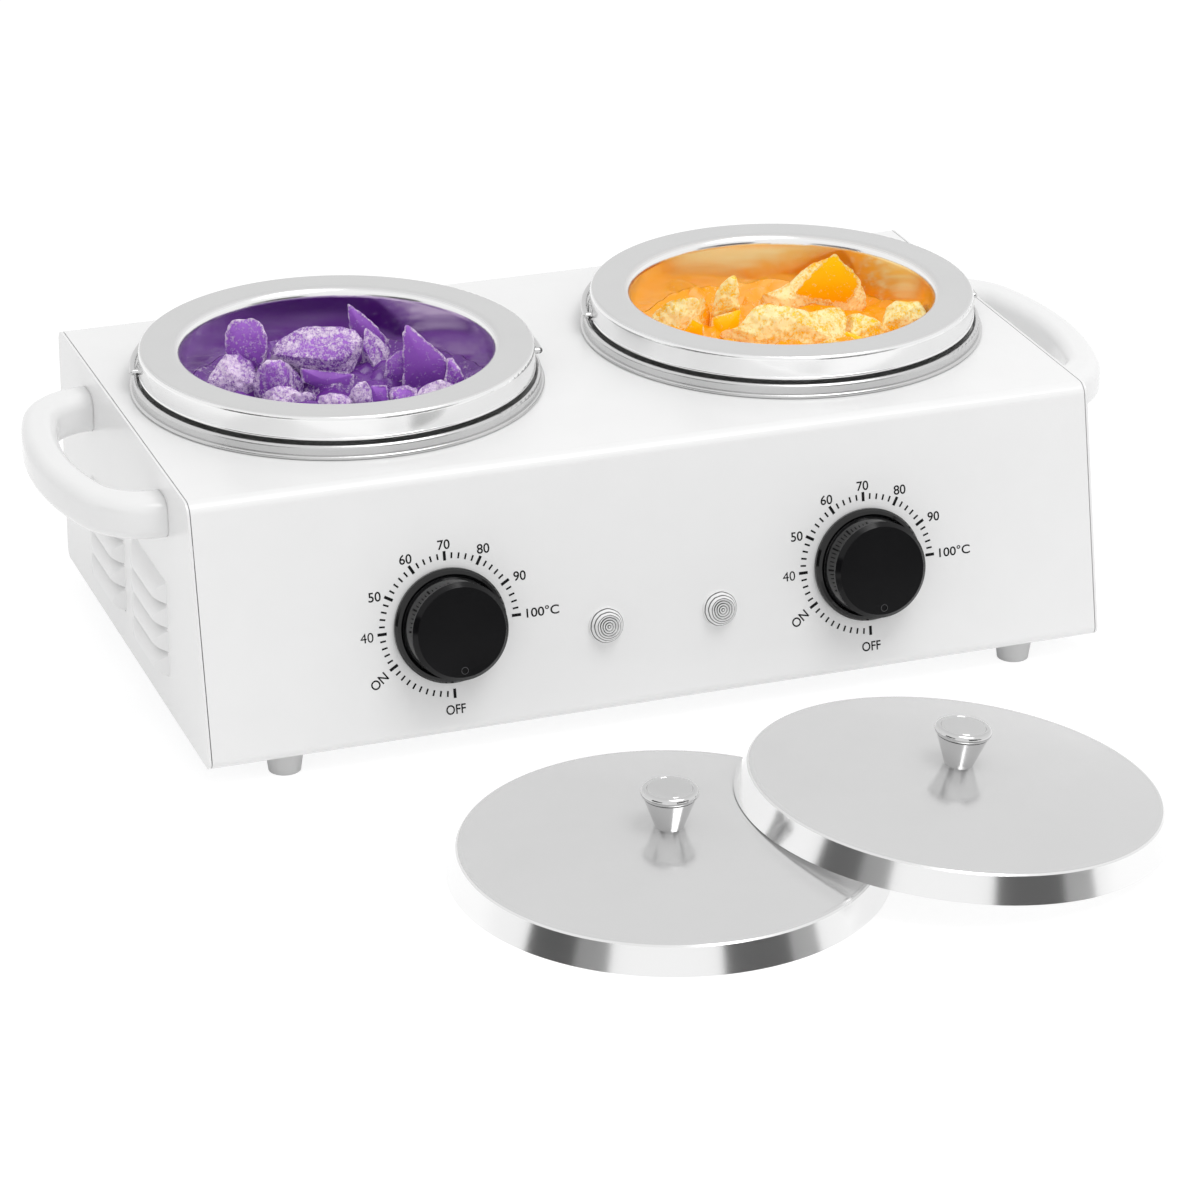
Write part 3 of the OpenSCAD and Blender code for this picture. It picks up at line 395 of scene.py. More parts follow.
# Bright chromium plate on the bails and lid knobs: a clear mirror, its steep sides painted a little brighter
CHROME = Finish("bright_chrome_plate", "#c8c8c8", "#c2c2c2", Grain.PLAIN, 4.0, 0.0004, 0.08, 0.02, 1.0,
                painted_side_colour="#d2d2d2", side_roughness=0.06)
# Bright zinc plate on screws, rods and thermostats: bluish, with a blurred gloss
ZINC = Finish("bright_zinc_plate", "#b9bcc0", "#a9adb2", Grain.CAST, 2.5, 0.01, 0.34, 0.06, 1.0)
# Galvanised sheet of the base plate and the heaters: dull grey with broad blotches
GALVANISED = Finish("galvanised_sheet", "#b4b8bc", "#a3a8ad", Grain.CAST, 9.0, 0.01, 0.42, 0.08, 1.0)
# Grey natural rubber feet: matt, with a soft moulded skin
RUBBER = Finish("moulded_grey_rubber", "#d0d0d0", "#c6c6c6", Grain.CAST, 0.8, 0.03, 0.62, 0.06)
# Clear acrylic lamp lenses, moulded with rings, whose dark lines are painted shade in the colour
ACRYLIC = Finish("clear_acrylic", "#ffffff", "#464648", Grain.SPUN, 1.1, 0.02, 0.05, 0.01, ior=1.49,
                 transmission=0.12, bands=(0.65, 0.95))
# Soda glass of the neon bulbs: clear and smooth
GLASS = Finish("lamp_glass", "#fbf3ea", "#f7ece0", Grain.PLAIN, 3.0, 0.0005, 0.03, 0.01, ior=1.52,
               transmission=1.0)
# Copper of the capillaries and their bulbs: drawn lines with a soft gloss
COPPER = Finish("drawn_copper", "#c8824f", "#b87343", Grain.DRAWN, 0.6, 0.003, 0.3, 0.05, 1.0)
# Painted highlight round the pointer dots: a narrow grey ring that stands in for the light their edges catch
PAINTED_DOT_HIGHLIGHT = Finish("painted_dot_highlight", "#4c4c4e", "#444446", Grain.PLAIN, 1.0, 0.0004, 0.2)
# Black printing ink, dry and slightly matt
INK = Finish("black_printing_ink", "#08080a", "#0d0d0f", Grain.MOULDED, 0.3, 0.002, 0.5, ior=1.3)
# Violet hard wax in the left pot: dark clean breaks and pale lilac frost
VIOLET_WAX = Wax("violet_hard_wax", "#540c7c", "#b070da", "#d3b2df", "#fff8ff", grain_mm=0.65, glow=0.09)
# Amber hard wax in the right pot: orange inside with a cream frost
AMBER_WAX = Wax("amber_hard_wax", "#f39400", "#ffd605", "#ffe67c", "#fffadc")


def grid_faces(rows: int, columns: int) -> np.ndarray:
    """Quads between neighbouring points of rings that are stored one after the other.

    Args:
        rows: number of rings.
        columns: points on each ring, the last of which joins the first.

    Returns:
        Array of four point numbers for each quad.
    """
    i, j = np.meshgrid(np.arange(rows - 1), np.arange(columns), indexing="ij")
    here, beside = i * columns + j, i * columns + (j + 1) % columns
    return np.stack([here, beside, beside + columns, here + columns], -1).reshape(-1, 4)


def fan_faces(pole: int, ring: np.ndarray) -> np.ndarray:
    """Triangles from one point to each edge of a closed ring.

    Args:
        pole: number of the point.
        ring: point numbers round the ring.

    Returns:
        Array of three point numbers for each triangle.
    """
    return np.stack([np.full_like(ring, pole), ring, np.roll(ring, -1)], -1)


def circle(columns: int) -> np.ndarray:
    """Evenly spaced points, as many as columns, on a circle of radius 1."""
    angle = np.linspace(0, 2 * math.pi, columns, endpoint=False)
    return np.stack([np.cos(angle), np.sin(angle)], -1)


def make_piece(name: str, points: np.ndarray, faces: list, material: bpy.types.Material, body: str,
               smooth: bool = True) -> bpy.types.Object:
    """Makes a mesh object at the origin that rides on a CAD body.

    Args:
        name: name of the piece.
        points: points in metres, one row each.
        faces: lists of point numbers.
        material: its material.
        body: CAD body that it moves with.
        smooth: True for a smooth shaded surface.

    Returns:
        The new object.
    """
    mesh = bpy.data.meshes.new(name)
    mesh.from_pydata(points.tolist(), [], faces)
    mesh.polygons.foreach_set("use_smooth", np.full(len(mesh.polygons), smooth))
    mesh.materials.append(material)
    mesh.update()
    piece = bpy.data.objects.new(name, mesh)
    bpy.context.scene.collection.objects.link(piece)
    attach(piece, body)
    LOG.info("%s: %d faces on %s", name, len(mesh.polygons), body)
    return piece


def paint(finish: Finish, nodes: list[str], axis: Matrix | None = None, suffix: str = "") -> None:
    """Gives CAD nodes a finish.

    Args:
        finish: the finish.
        nodes: names of the CAD nodes.
        axis: frame of turned lines, if any.
        suffix: added to the material's name.
    """
    material = finish.material(axis, suffix)
    for name in nodes:
        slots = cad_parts[name].data.materials
        slots.clear()
        slots.append(material)
        LOG.info("%s: %s", name, material.name)


def pair(*names: str) -> list[str]:
    """Left and right CAD node of each name."""
    return [f"{side.word}_{name}" for name in names for side in Side]


def on_panel(x: float, z: float) -> Matrix:
    """Frame on the sloped panel's face, which runs straight from its foot to its top.

    Args:
        x: place across the panel.
        z: height.

    Returns:
        Frame whose Z points out of the panel, in metres.
    """
    y = HOME_Y - HALF_DEPTH - (WRAP[1, 2] - z) * math.tan(PANEL_TILT)
    turn = Euler((math.pi / 2 - PANEL_TILT, 0, 0)).to_matrix().to_4x4()
    return Matrix.Translation(Vector((x, y, z)) * MM) @ turn


def placed(points: np.ndarray, place: Matrix) -> np.ndarray:
    """Carries points to a place: turned by its axes and moved to its origin.

    Args:
        points: points in millimetres, one row each.
        place: frame in metres.

    Returns:
        Points in metres.
    """
    turn = np.array(place)
    return points * MM @ turn[:3, :3].T + turn[:3, 3]


def value_noise(points: np.ndarray, size: float, seed: int) -> np.ndarray:
    """Smooth noise: random values at the corners of a cubic lattice, blended between them.

    Args:
        points: rows of places.
        size: side of one lattice cell.
        seed: number that picks the random values.

    Returns:
        One value from -0.5 to 0.5 for each place.
    """
    spot = points / size
    cell = np.floor(spot).astype(np.int64)
    part = spot - cell
    part = part * part * (3 - 2 * part)
    total = np.zeros(len(points))
    for corner in np.ndindex(2, 2, 2):
        # Large primes mix the corner's numbers with the seed
        x, y, z = (cell + corner).T
        mixed = (x * 73856093 ^ y * 19349663 ^ z * 83492791 ^ seed * 2654435761) & 0x7FFFFFFF
        mixed = (mixed ^ mixed >> 13) * 1274126177 & 0x7FFFFFFF
        share = np.where(corner, part, 1 - part).prod(axis=1)
        total += share * ((mixed ^ mixed >> 16) & 0xFFFF) / 0xFFFF
    return total - 0.5


def lumps(points: np.ndarray, seed: int, layers: tuple) -> np.ndarray:
    """Adds up noise of several sizes.

    Args:
        points: rows of places.
        seed: number that picks the random values.
        layers: cell size, step of the seed and height of each noise.

    Returns:
        One height for each place.
    """
    return sum(height * value_noise(points, size, seed + step) for size, step, height in layers)


@dataclass
class Shot:
    """Camera at the photograph's viewpoint.

    Attributes:
        azimuth: degrees round the object, 0 looks along +Y.
        elevation: degrees above the table.
        roll: degrees that the camera leans.
        distance_mm: distance to the target.
        target_mm: point that the camera looks at.
        lens_mm: focal length on the sensor.
        sensor_mm: width of the sensor.
        clip_m: nearest and farthest distance that it shows.
    """

    azimuth: float = -20.294
    elevation: float = 24.307
    roll: float = 0.336
    distance_mm: float = 2064.284
    target_mm: tuple = (16.745, HOME_Y, -1.079)
    lens_mm: float = 138.46
    sensor_mm: float = 36.0
    clip_m: tuple = (0.05, 50.0)

    def build(self) -> None:
        """Makes the camera and sets it as the scene's."""
        az, el, ro = (math.radians(v) for v in (self.azimuth, self.elevation, self.roll))
        back = Vector((math.sin(az) * math.cos(el), -math.cos(az) * math.cos(el), math.sin(el)))
        right = Vector((math.cos(az), math.sin(az), 0.0))
        up = back.cross(right)
        across = math.cos(ro) * right + math.sin(ro) * up
        above = math.cos(ro) * up - math.sin(ro) * right
        turn = Matrix((across, above, back)).transposed().to_4x4()
        data = bpy.data.cameras.new("photo_camera")
        data.lens, data.sensor_width, data.sensor_fit = self.lens_mm, self.sensor_mm, "HORIZONTAL"
        data.clip_start, data.clip_end = self.clip_m
        camera = bpy.data.objects.new("photo_camera", data)
        at = Vector(self.target_mm) + back * self.distance_mm
        camera.matrix_world = Matrix.Translation(at * MM) @ turn
        bpy.context.scene.collection.objects.link(camera)
        bpy.context.scene.camera = camera


@dataclass
class Studio:
    """White sweep and plain soft light, with a pale card and dark flags that only polished metal shows.

    Attributes:
        bounces: how often a ray of light is followed on.
        paper: colour of the floor and the card.
        white: strength of a sheet's own light.
        floor_m: side of the floor.
        floor_lift: share of the floor's light that is its own where it is seen, which thins its shadows.
        sky: strength of the even light.
        key_power: power of the soft lamp above, in watts.
        key_size_m: side of that lamp.
        key_at: place of that lamp.
        key_aim: point that it shines at.
        card_y_mm: place of the pale card between the panel and the lids.
        card_half_mm: half its width.
        card_h_mm: its height.
        card_lift: share of its own light.
        flags: degrees round the camera's direction where each flag starts and ends, and its colour.
        flag_h_m: height of a flag.
        flag_reach_m: distance of a flag from the middle.
    """

    bounces: int = 14
    paper: str = "#fdfdfd"
    white: float = 1.14
    floor_m: float = 8.0
    floor_lift: float = 0.75
    sky: float = 0.73
    key_power: float = 18.0
    key_size_m: float = 1.2
    key_at: tuple = (0.45, -0.7, 2.2)
    key_aim: tuple = (0.0, 0.05, 0.05)
    card_y_mm: float = -144.0 + HOME_Y
    card_half_mm: float = 215.0
    card_h_mm: float = 118.0
    card_lift: float = 0.45
    flags: tuple = ((-67, -42, "#5c5c5c"), (-42, -26, "#9c9c9c"), (24, 56, "#646464"), (56, 71, "#aeaeae"))
    flag_h_m: float = 0.75
    flag_reach_m: float = 1.6

    def build(self) -> None:
        """Sets the world, the lamp, the floor, the card and the flags."""
        scene = bpy.context.scene
        scene.view_settings.view_transform = "Standard"
        scene.cycles.max_bounces = scene.cycles.glossy_bounces = self.bounces
        self._world()
        self._lamp()
        half = self.floor_m / 2
        self._sheet("floor", self.paper,
                    [(-half, -half, 0), (half, -half, 0), (half, half, 0), (-half, half, 0)], self.floor_lift)
        self._card()
        for number, (start, end, colour) in enumerate(self.flags):
            edges = [math.radians(Shot.azimuth + edge) for edge in (start, end)]
            self._flag(f"flag_{number}", edges, colour)

    def _world(self) -> None:
        """Even light, and plain white where the camera, metal or glass looks past the floor."""
        world = bpy.data.worlds.new("even_sky")
        bpy.context.scene.world = world
        tree = bare_tree(world)
        strength = add(tree, "ShaderNodeMapRange", {"To Min": self.sky, "To Max": 1.0},
                       {"Value": shown(tree)})
        sky = add(tree, "ShaderNodeBackground", {"Color": (1, 1, 1, 1)},
                  {"Strength": strength.outputs["Result"]})
        add(tree, "ShaderNodeOutputWorld", None, {"Surface": sky.outputs["Background"]})

    def _lamp(self) -> None:
        """One large soft lamp above, in front and to the right."""
        data = bpy.data.lights.new("soft_top", "AREA")
        data.energy, data.size = self.key_power, self.key_size_m
        lamp = bpy.data.objects.new("soft_top", data)
        lamp.location = self.key_at
        ray = Vector(self.key_aim) - Vector(self.key_at)
        lamp.rotation_euler = ray.to_track_quat("-Z", "Y").to_euler()
        bpy.context.scene.collection.objects.link(lamp)

    def _sheet(self, name: str, colour: str, corners: list, lift: float = 0.0,
               one_sided: bool = False) -> bpy.types.Object:
        """One flat matt sheet of the stage.

        Args:
            name: name of the sheet.
            colour: its colour.
            corners: four corners in metres, anticlockwise as its front shows them.
            lift: share of its own light in what is seen of it, which whitens it and thins its shadows.
            one_sided: True where its back is clear.

        Returns:
            The new object.
        """
        mesh = bpy.data.meshes.new(name)
        mesh.from_pydata(corners, [], [(0, 1, 2, 3)])
        material = bpy.data.materials.new(f"{name}_paper")
        tree = bare_tree(material)
        matt = add(tree, "ShaderNodeBsdfDiffuse", {"Color": linear(colour)}).outputs["BSDF"]
        seen = add(tree, "ShaderNodeMath", {1: lift}, {0: shown(tree)}, operation="MULTIPLY").outputs[0]
        glow = add(tree, "ShaderNodeEmission", {"Strength": self.white}).outputs["Emission"]
        look = add(tree, "ShaderNodeMixShader", None, {0: seen, 1: matt, 2: glow}).outputs["Shader"]
        if one_sided:
            behind = add(tree, "ShaderNodeNewGeometry").outputs["Backfacing"]
            clear = add(tree, "ShaderNodeBsdfTransparent").outputs["BSDF"]
            look = add(tree, "ShaderNodeMixShader", None, {0: behind, 1: look, 2: clear}).outputs["Shader"]
        add(tree, "ShaderNodeOutputMaterial", None, {"Surface": look})
        mesh.materials.append(material)
        sheet = bpy.data.objects.new(name, mesh)
        bpy.context.scene.collection.objects.link(sheet)
        return sheet

    @staticmethod
    def _for_mirrors(sheet: bpy.types.Object) -> None:
        """Leaves a sheet for mirrors alone to see."""
        sheet.visible_camera = sheet.visible_diffuse = False
        sheet.visible_shadow = sheet.visible_transmission = False

    def _card(self) -> None:
        """Pale card before the panel, which keeps the black knobs out of the lids."""
        y, half, top = self.card_y_mm * MM, self.card_half_mm * MM, self.card_h_mm * MM
        corners = [(-half, y, 0), (half, y, 0), (half, y, top), (-half, y, top)]
        self._for_mirrors(self._sheet("card", self.paper, corners, self.card_lift, one_sided=True))

    def _flag(self, name: str, edges: list[float], colour: str) -> None:
        """Dark upright flag that gives the polished skirts their dark bars.

        Args:
            name: name of the flag.
            edges: directions of its two edges from the middle, in radians from -Y towards +X.
            colour: its colour.
        """
        foot, other = (Vector((math.sin(turn), -math.cos(turn), 0)) * self.flag_reach_m for turn in edges)
        up = Vector((0, 0, self.flag_h_m))
        self._for_mirrors(self._sheet(name, colour, [foot, other, other + up, foot + up]))


@dataclass
class Grips:
    """Moulded carrying handles, swept finer than the CAD solids that they stand for.

    Attributes:
        face_x: outer face of the end panels.
        half: half the distance between the arms.
        grip_w: width of the bar at its middle.
        arm_w: width of the bar at its arms.
        height: height of the bar.
        edge_r: radius of the bar's edges.
        corner_r: radius of the path at the corners.
        bow_r: radius of the bowed middle.
        root: straight length at the panel.
        ahead: how far the handle sits towards the front.
        level: height of the bar's middle.
        corner_points: points along a corner of the path.
        bow_points: points along the bow.
        edge_points: points round an edge of the bar.
    """

    face_x: float = 200.0
    half: float = 61.0
    grip_w: float = 15.0
    arm_w: float = 19.0
    height: float = 18.0
    edge_r: float = 5.5
    corner_r: float = 26.0
    bow_r: float = 140.0
    root: float = 1.0
    ahead: float = 6.0
    level: float = 99.3
    corner_points: int = 28
    bow_points: int = 32
    edge_points: int = 10

    def path(self) -> tuple[np.ndarray, np.ndarray]:
        """Middle line of a right handle: an arm, a corner arc, the bow's arc, a corner arc and an arm.

        Returns:
            Points in the plane, and the angle of the outward direction at each.
        """
        reach, quarter = self.half - self.corner_r, math.pi / 2
        turn = math.asin(reach / (self.bow_r - self.corner_r))
        arc_x = self.face_x + self.root
        bow_x = arc_x - (self.bow_r - self.corner_r) * math.cos(turn)
        corner = np.linspace(quarter, turn, self.corner_points)
        bow = np.linspace(turn, -turn, self.bow_points + 2)[1:-1]
        # Middle, radius and angles of each arc; an arm's end is an arc without a radius
        arcs = ((self.face_x, self.half, 0.0, np.array([quarter])), (arc_x, reach, self.corner_r, corner),
                (bow_x, 0.0, self.bow_r, bow), (arc_x, -reach, self.corner_r, -corner[::-1]),
                (self.face_x, -self.half, 0.0, np.array([-quarter])))
        points = [np.stack([x + r * np.cos(angle), y + r * np.sin(angle)], -1) for x, y, r, angle in arcs]
        return np.concatenate(points), np.concatenate([angle for *_, angle in arcs])

    def outline(self) -> np.ndarray:
        """Cross-section: a rectangle with each corner a quarter circle.

        Returns:
            Points across and up, anticlockwise.
        """
        turn = np.linspace(0, math.pi / 2, self.edge_points)
        w, h = self.grip_w / 2 - self.edge_r, self.height / 2 - self.edge_r
        quarters = []
        for number, (a, b) in enumerate(((1, 1), (-1, 1), (-1, -1), (1, -1))):
            angle = turn + number * math.pi / 2
            quarters.append(np.stack([a * w + self.edge_r * np.cos(angle),
                                      b * h + self.edge_r * np.sin(angle)], -1))
        return np.concatenate(quarters)

    def build(self) -> None:
        """Carries the cross-section along the path, wider towards the arms by the turn's sine squared."""
        path, angles = self.path()
        outline = self.outline()
        wide = 1 + (self.arm_w / self.grip_w - 1) * np.sin(angles) ** 2
        across = outline[None, :, 0] * wide[:, None]
        x = path[:, None, 0] + across * np.cos(angles)[:, None]
        y = path[:, None, 1] + across * np.sin(angles)[:, None]
        z = np.broadcast_to(outline[None, :, 1], x.shape)
        rows, columns = x.shape
        walls = grid_faces(rows, columns)[:, ::-1].tolist()
        caps = [list(range(columns)), list(range(rows * columns - 1, (rows - 1) * columns - 1, -1))]
        for side in Side:
            points = np.stack([side.value * x, y - self.ahead + HOME_Y, z + self.level], -1)
            faces = [face[::side.value] for face in walls + caps]
            piece = make_piece(f"{side.word}_grip", points.reshape(-1, 3) * MM, faces, WHITE_ABS.material(),
                               "housing_body")
            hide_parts(f"{side.word}_handle")


@dataclass
class LidKnobs:
    """Turned lid knobs, revolved finer than the CAD solids that they stand for.

    Attributes:
        top_r: radius of the lip round the top.
        height: height of the knob.
        lip_h: height of the lip, which is half round.
        lip_from: degrees from level where the lip's arc starts, below it.
        cone_r: radius of the cone below the lip.
        foot_r: radius of the foot.
        bore_r: radius of the screw's hole.
        bore_h: depth of that hole.
        line_r: radius of the line turned round the flat top.
        line_w: width and depth of that line.
        seat_z: height of the lid's top.
        lip_points: points round the lip.
        cone_points: points up the cone.
        columns: points round the axis.
        crease: degrees between faces at which an edge stays sharp.
    """

    top_r: float = 11.6
    height: float = 16.8
    lip_h: float = 3.8
    lip_from: float = -80.0
    cone_r: float = 10.6
    foot_r: float = 5.8
    bore_r: float = 2.1
    bore_h: float = 10.0
    line_r: float = 9.1
    line_w: float = 0.25
    seat_z: float = LEFT_LID[1, 2]
    lip_points: int = 18
    cone_points: int = 10
    columns: int = 96
    crease: float = 25.0

    def profile(self) -> np.ndarray:
        """Half section: down the screw's hole, out along the foot, up the cone, round the lip and in.

        Returns:
            Radius and height of each point but the two on the axis.
        """
        lip = self.lip_h / 2
        turn = np.linspace(math.radians(self.lip_from), math.pi / 2, self.lip_points)
        cone = np.linspace((self.foot_r, 0), (self.cone_r, self.height - self.lip_h), self.cone_points)
        arc = np.stack([self.top_r - lip + lip * np.cos(turn), self.height - lip + lip * np.sin(turn)], -1)
        line = [(self.line_r + self.line_w, self.height), (self.line_r, self.height - self.line_w),
                (self.line_r - self.line_w, self.height)]
        return np.concatenate([[(self.bore_r, self.bore_h), (self.bore_r, 0)], cone, arc, line])

    def build(self, warmer: "Warmer") -> None:
        """Turns the half section round each lid's axis.

        Args:
            warmer: gives the lids' axes.
        """
        profile = self.profile()
        rows, column = len(profile), np.arange(self.columns)
        radius, height = np.repeat(profile, self.columns, axis=0).T
        rounds = np.column_stack([radius[:, None] * np.tile(circle(self.columns), (rows, 1)), height])
        local = np.concatenate([rounds, [(0, 0, self.bore_h), (0, 0, self.height)]]) + (0, 0, self.seat_z)
        inner = fan_faces(len(rounds), column)[:, ::-1]
        top = fan_faces(len(rounds) + 1, column + len(rounds) - self.columns)
        faces = grid_faces(rows, self.columns).tolist() + inner.tolist() + top.tolist()
        for side in Side:
            points = placed(local, warmer.lid_axis(side))
            piece = make_piece(f"{side.word}_lid_grip", points, faces, CHROME.material(),
                               f"{side.word}_lid_body")
            piece.data.set_sharp_from_angle(angle=math.radians(self.crease))
            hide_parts(f"{side.word}_lid_knob")


@dataclass
class Dial:
    """Scale and figures printed on the panel round a knob, and a painted highlight round its pointer dot.

    Attributes:
        knob_x: distance of the knob from the middle.
        knob_z: height of the knob.
        ring_r: radius at the middle of the scale's lines.
        sweep: degrees from the first line, straight down, to the last.
        step: degrees between neighbouring lines.
        marked: degrees of the lines at the figures.
        long_bar: half the length and the width of those lines.
        fine_bar: half the length and the width of the lines between.
        figure_h: height of the figures.
        bold: how much the letters' strokes are thickened, in parts of the letter size.
        lift: thickness of the ink.
        dot_down: distance of the pointer dot from the knob's axis.
        dot_out: distance of the cap's face from the panel.
        dot_highlight_rim: outer and inner radius of the grey ring, a painted highlight round the dot.
        dot_columns: points round that ring.
        figures: text, place across and up, degrees turned and width of each figure.
    """

    knob_x: float = 93.5
    knob_z: float = 55.15
    ring_r: float = 29.2
    sweep: int = 270
    step: int = 6
    marked: tuple = (0, 60, 90, 120, 150, 180, 210, 240, 270)
    long_bar: tuple = (2.0, 1.25)
    fine_bar: tuple = (1.25, 0.76)
    figure_h: float = 4.1
    bold: float = 0.012
    lift: float = 0.05
    dot_down: float = 16.1
    dot_out: float = 16.7
    dot_highlight_rim: tuple = (1.55, 1.3)
    dot_columns: int = 32
    figures: tuple = (("70", 0, 33.9, 0, 1), ("80", 16.9, 30, 0, 1), ("60", -16.8, 30, 0, 1),
                      ("90", 31.8, 16.4, 0, 1), ("50", -31.2, 16.1, 0, 1), ("40", -35.8, -0.6, 0, 1),
                      ("100°C", 40.8, 0.2, 0, 1.12), ("OFF", 0, -36, 0, 0.88), ("ON", -32, -19.6, 37, 0.94))

    def lines(self) -> np.ndarray:
        """Short bars along the radii: long ones at each figure, fine ones at every step between.

        Returns:
            Four corners in the panel's plane for each bar.
        """
        turns = np.arange(0, self.sweep + 1, self.step)
        angle = np.radians(turns)
        out = np.stack([-np.sin(angle), -np.cos(angle)], -1)
        side = np.stack([out[:, 1], -out[:, 0]], -1)
        bars = np.where(np.isin(turns, self.marked)[:, None], self.long_bar, self.fine_bar)
        reach, thick = bars[:, :1], bars[:, 1:] / 2
        corners = ((-1, 1), (1, 1), (1, -1), (-1, -1))
        return np.stack([(self.ring_r + a * reach) * out + b * thick * side for a, b in corners], 1)

    def word(self, text: str, x: float, y: float, turn: float, wide: float) -> tuple[np.ndarray, list]:
        """One figure or word as flat faces.

        Args:
            text: its letters.
            x: place of its middle across the panel.
            y: place of its middle up the panel.
            turn: degrees that it is turned.
            wide: how much wider than the plain letters.

        Returns:
            Points in the panel's plane and lists of point numbers.
        """
        curve = bpy.data.curves.new("figure", "FONT")
        curve.body = text
        # The triangle inside a 4 closes when its strokes are thickened
        curve.offset = 0.0 if "4" in text else self.bold
        holder = bpy.data.objects.new("figure", curve)
        mesh = bpy.data.meshes.new_from_object(holder)
        flat = np.empty(len(mesh.vertices) * 3)
        mesh.vertices.foreach_get("co", flat)
        flat = flat.reshape(-1, 3)[:, :2]
        faces = [list(face.vertices) for face in mesh.polygons]
        bpy.data.objects.remove(holder)
        bpy.data.curves.remove(curve)
        bpy.data.meshes.remove(mesh)
        low, high = flat.min(axis=0), flat.max(axis=0)
        flat = (flat - (low + high) / 2) * self.figure_h / (high[1] - low[1]) * (wide, 1)
        c, s = math.cos(math.radians(turn)), math.sin(math.radians(turn))
        return flat @ np.array([[c, s], [-s, c]]) + (x, y), faces

    def scale(self) -> tuple[np.ndarray, list]:
        """The bars and figures of one dial.

        Returns:
            Points in the panel's plane and lists of point numbers.
        """
        bars = self.lines().reshape(-1, 2)
        flats, faces = [bars], np.arange(len(bars)).reshape(-1, 4).tolist()
        start = len(bars)
        for figure in self.figures:
            flat, drawn = self.word(*figure)
            flats.append(flat)
            faces += [[start + i for i in face] for face in drawn]
            start += len(flat)
        return np.concatenate(flats), faces

    def place(self, side: Side, flat: np.ndarray, above: float) -> np.ndarray:
        """Carries points of the panel's plane to their place round a knob.

        Args:
            side: which knob.
            flat: points across and up the panel from the knob's axis.
            above: their height above the panel.

        Returns:
            Points in metres.
        """
        local = np.column_stack([flat, np.full(len(flat), above)])
        return placed(local, on_panel(side.value * self.knob_x, self.knob_z))

    def build(self) -> None:
        """Lays the scale on the panel as a very fine skin of ink, and a grey ring on the cap round its dot as
        a painted highlight.
        """
        scale, scale_faces = self.scale()
        rim = np.concatenate([r * circle(self.dot_columns) for r in self.dot_highlight_rim]) - (0, self.dot_down)
        rim_faces = grid_faces(len(self.dot_highlight_rim), self.dot_columns).tolist()
        for side in Side:
            make_piece(f"{side.word}_dial_print", self.place(side, scale, self.lift), scale_faces,
                       INK.material(), "housing_body", False)
            # Painted highlight: grey ring round the pointer dot, standing in for the light its edge catches
            make_piece(f"{side.word}_cap_dot", self.place(side, rim, self.dot_out + self.lift), rim_faces,
                       PAINTED_DOT_HIGHLIGHT.material(), f"{side.word}_control", False)


@dataclass(frozen=True)
class Shard:
    """One broken piece of wax: a slab standing in the pot, in millimetres.

    Attributes:
        ahead: distance of its face from the pot's axis towards the front.
        thick: its thickness.
        frost: how frosty its face is; the edges of its broken sides are always frosty.
        seed: number that picks its roughness.
        outline: corners of its face, across and up from the rim, anticlockwise.
    """

    ahead: float
    thick: float
    frost: float
    seed: int
    outline: tuple


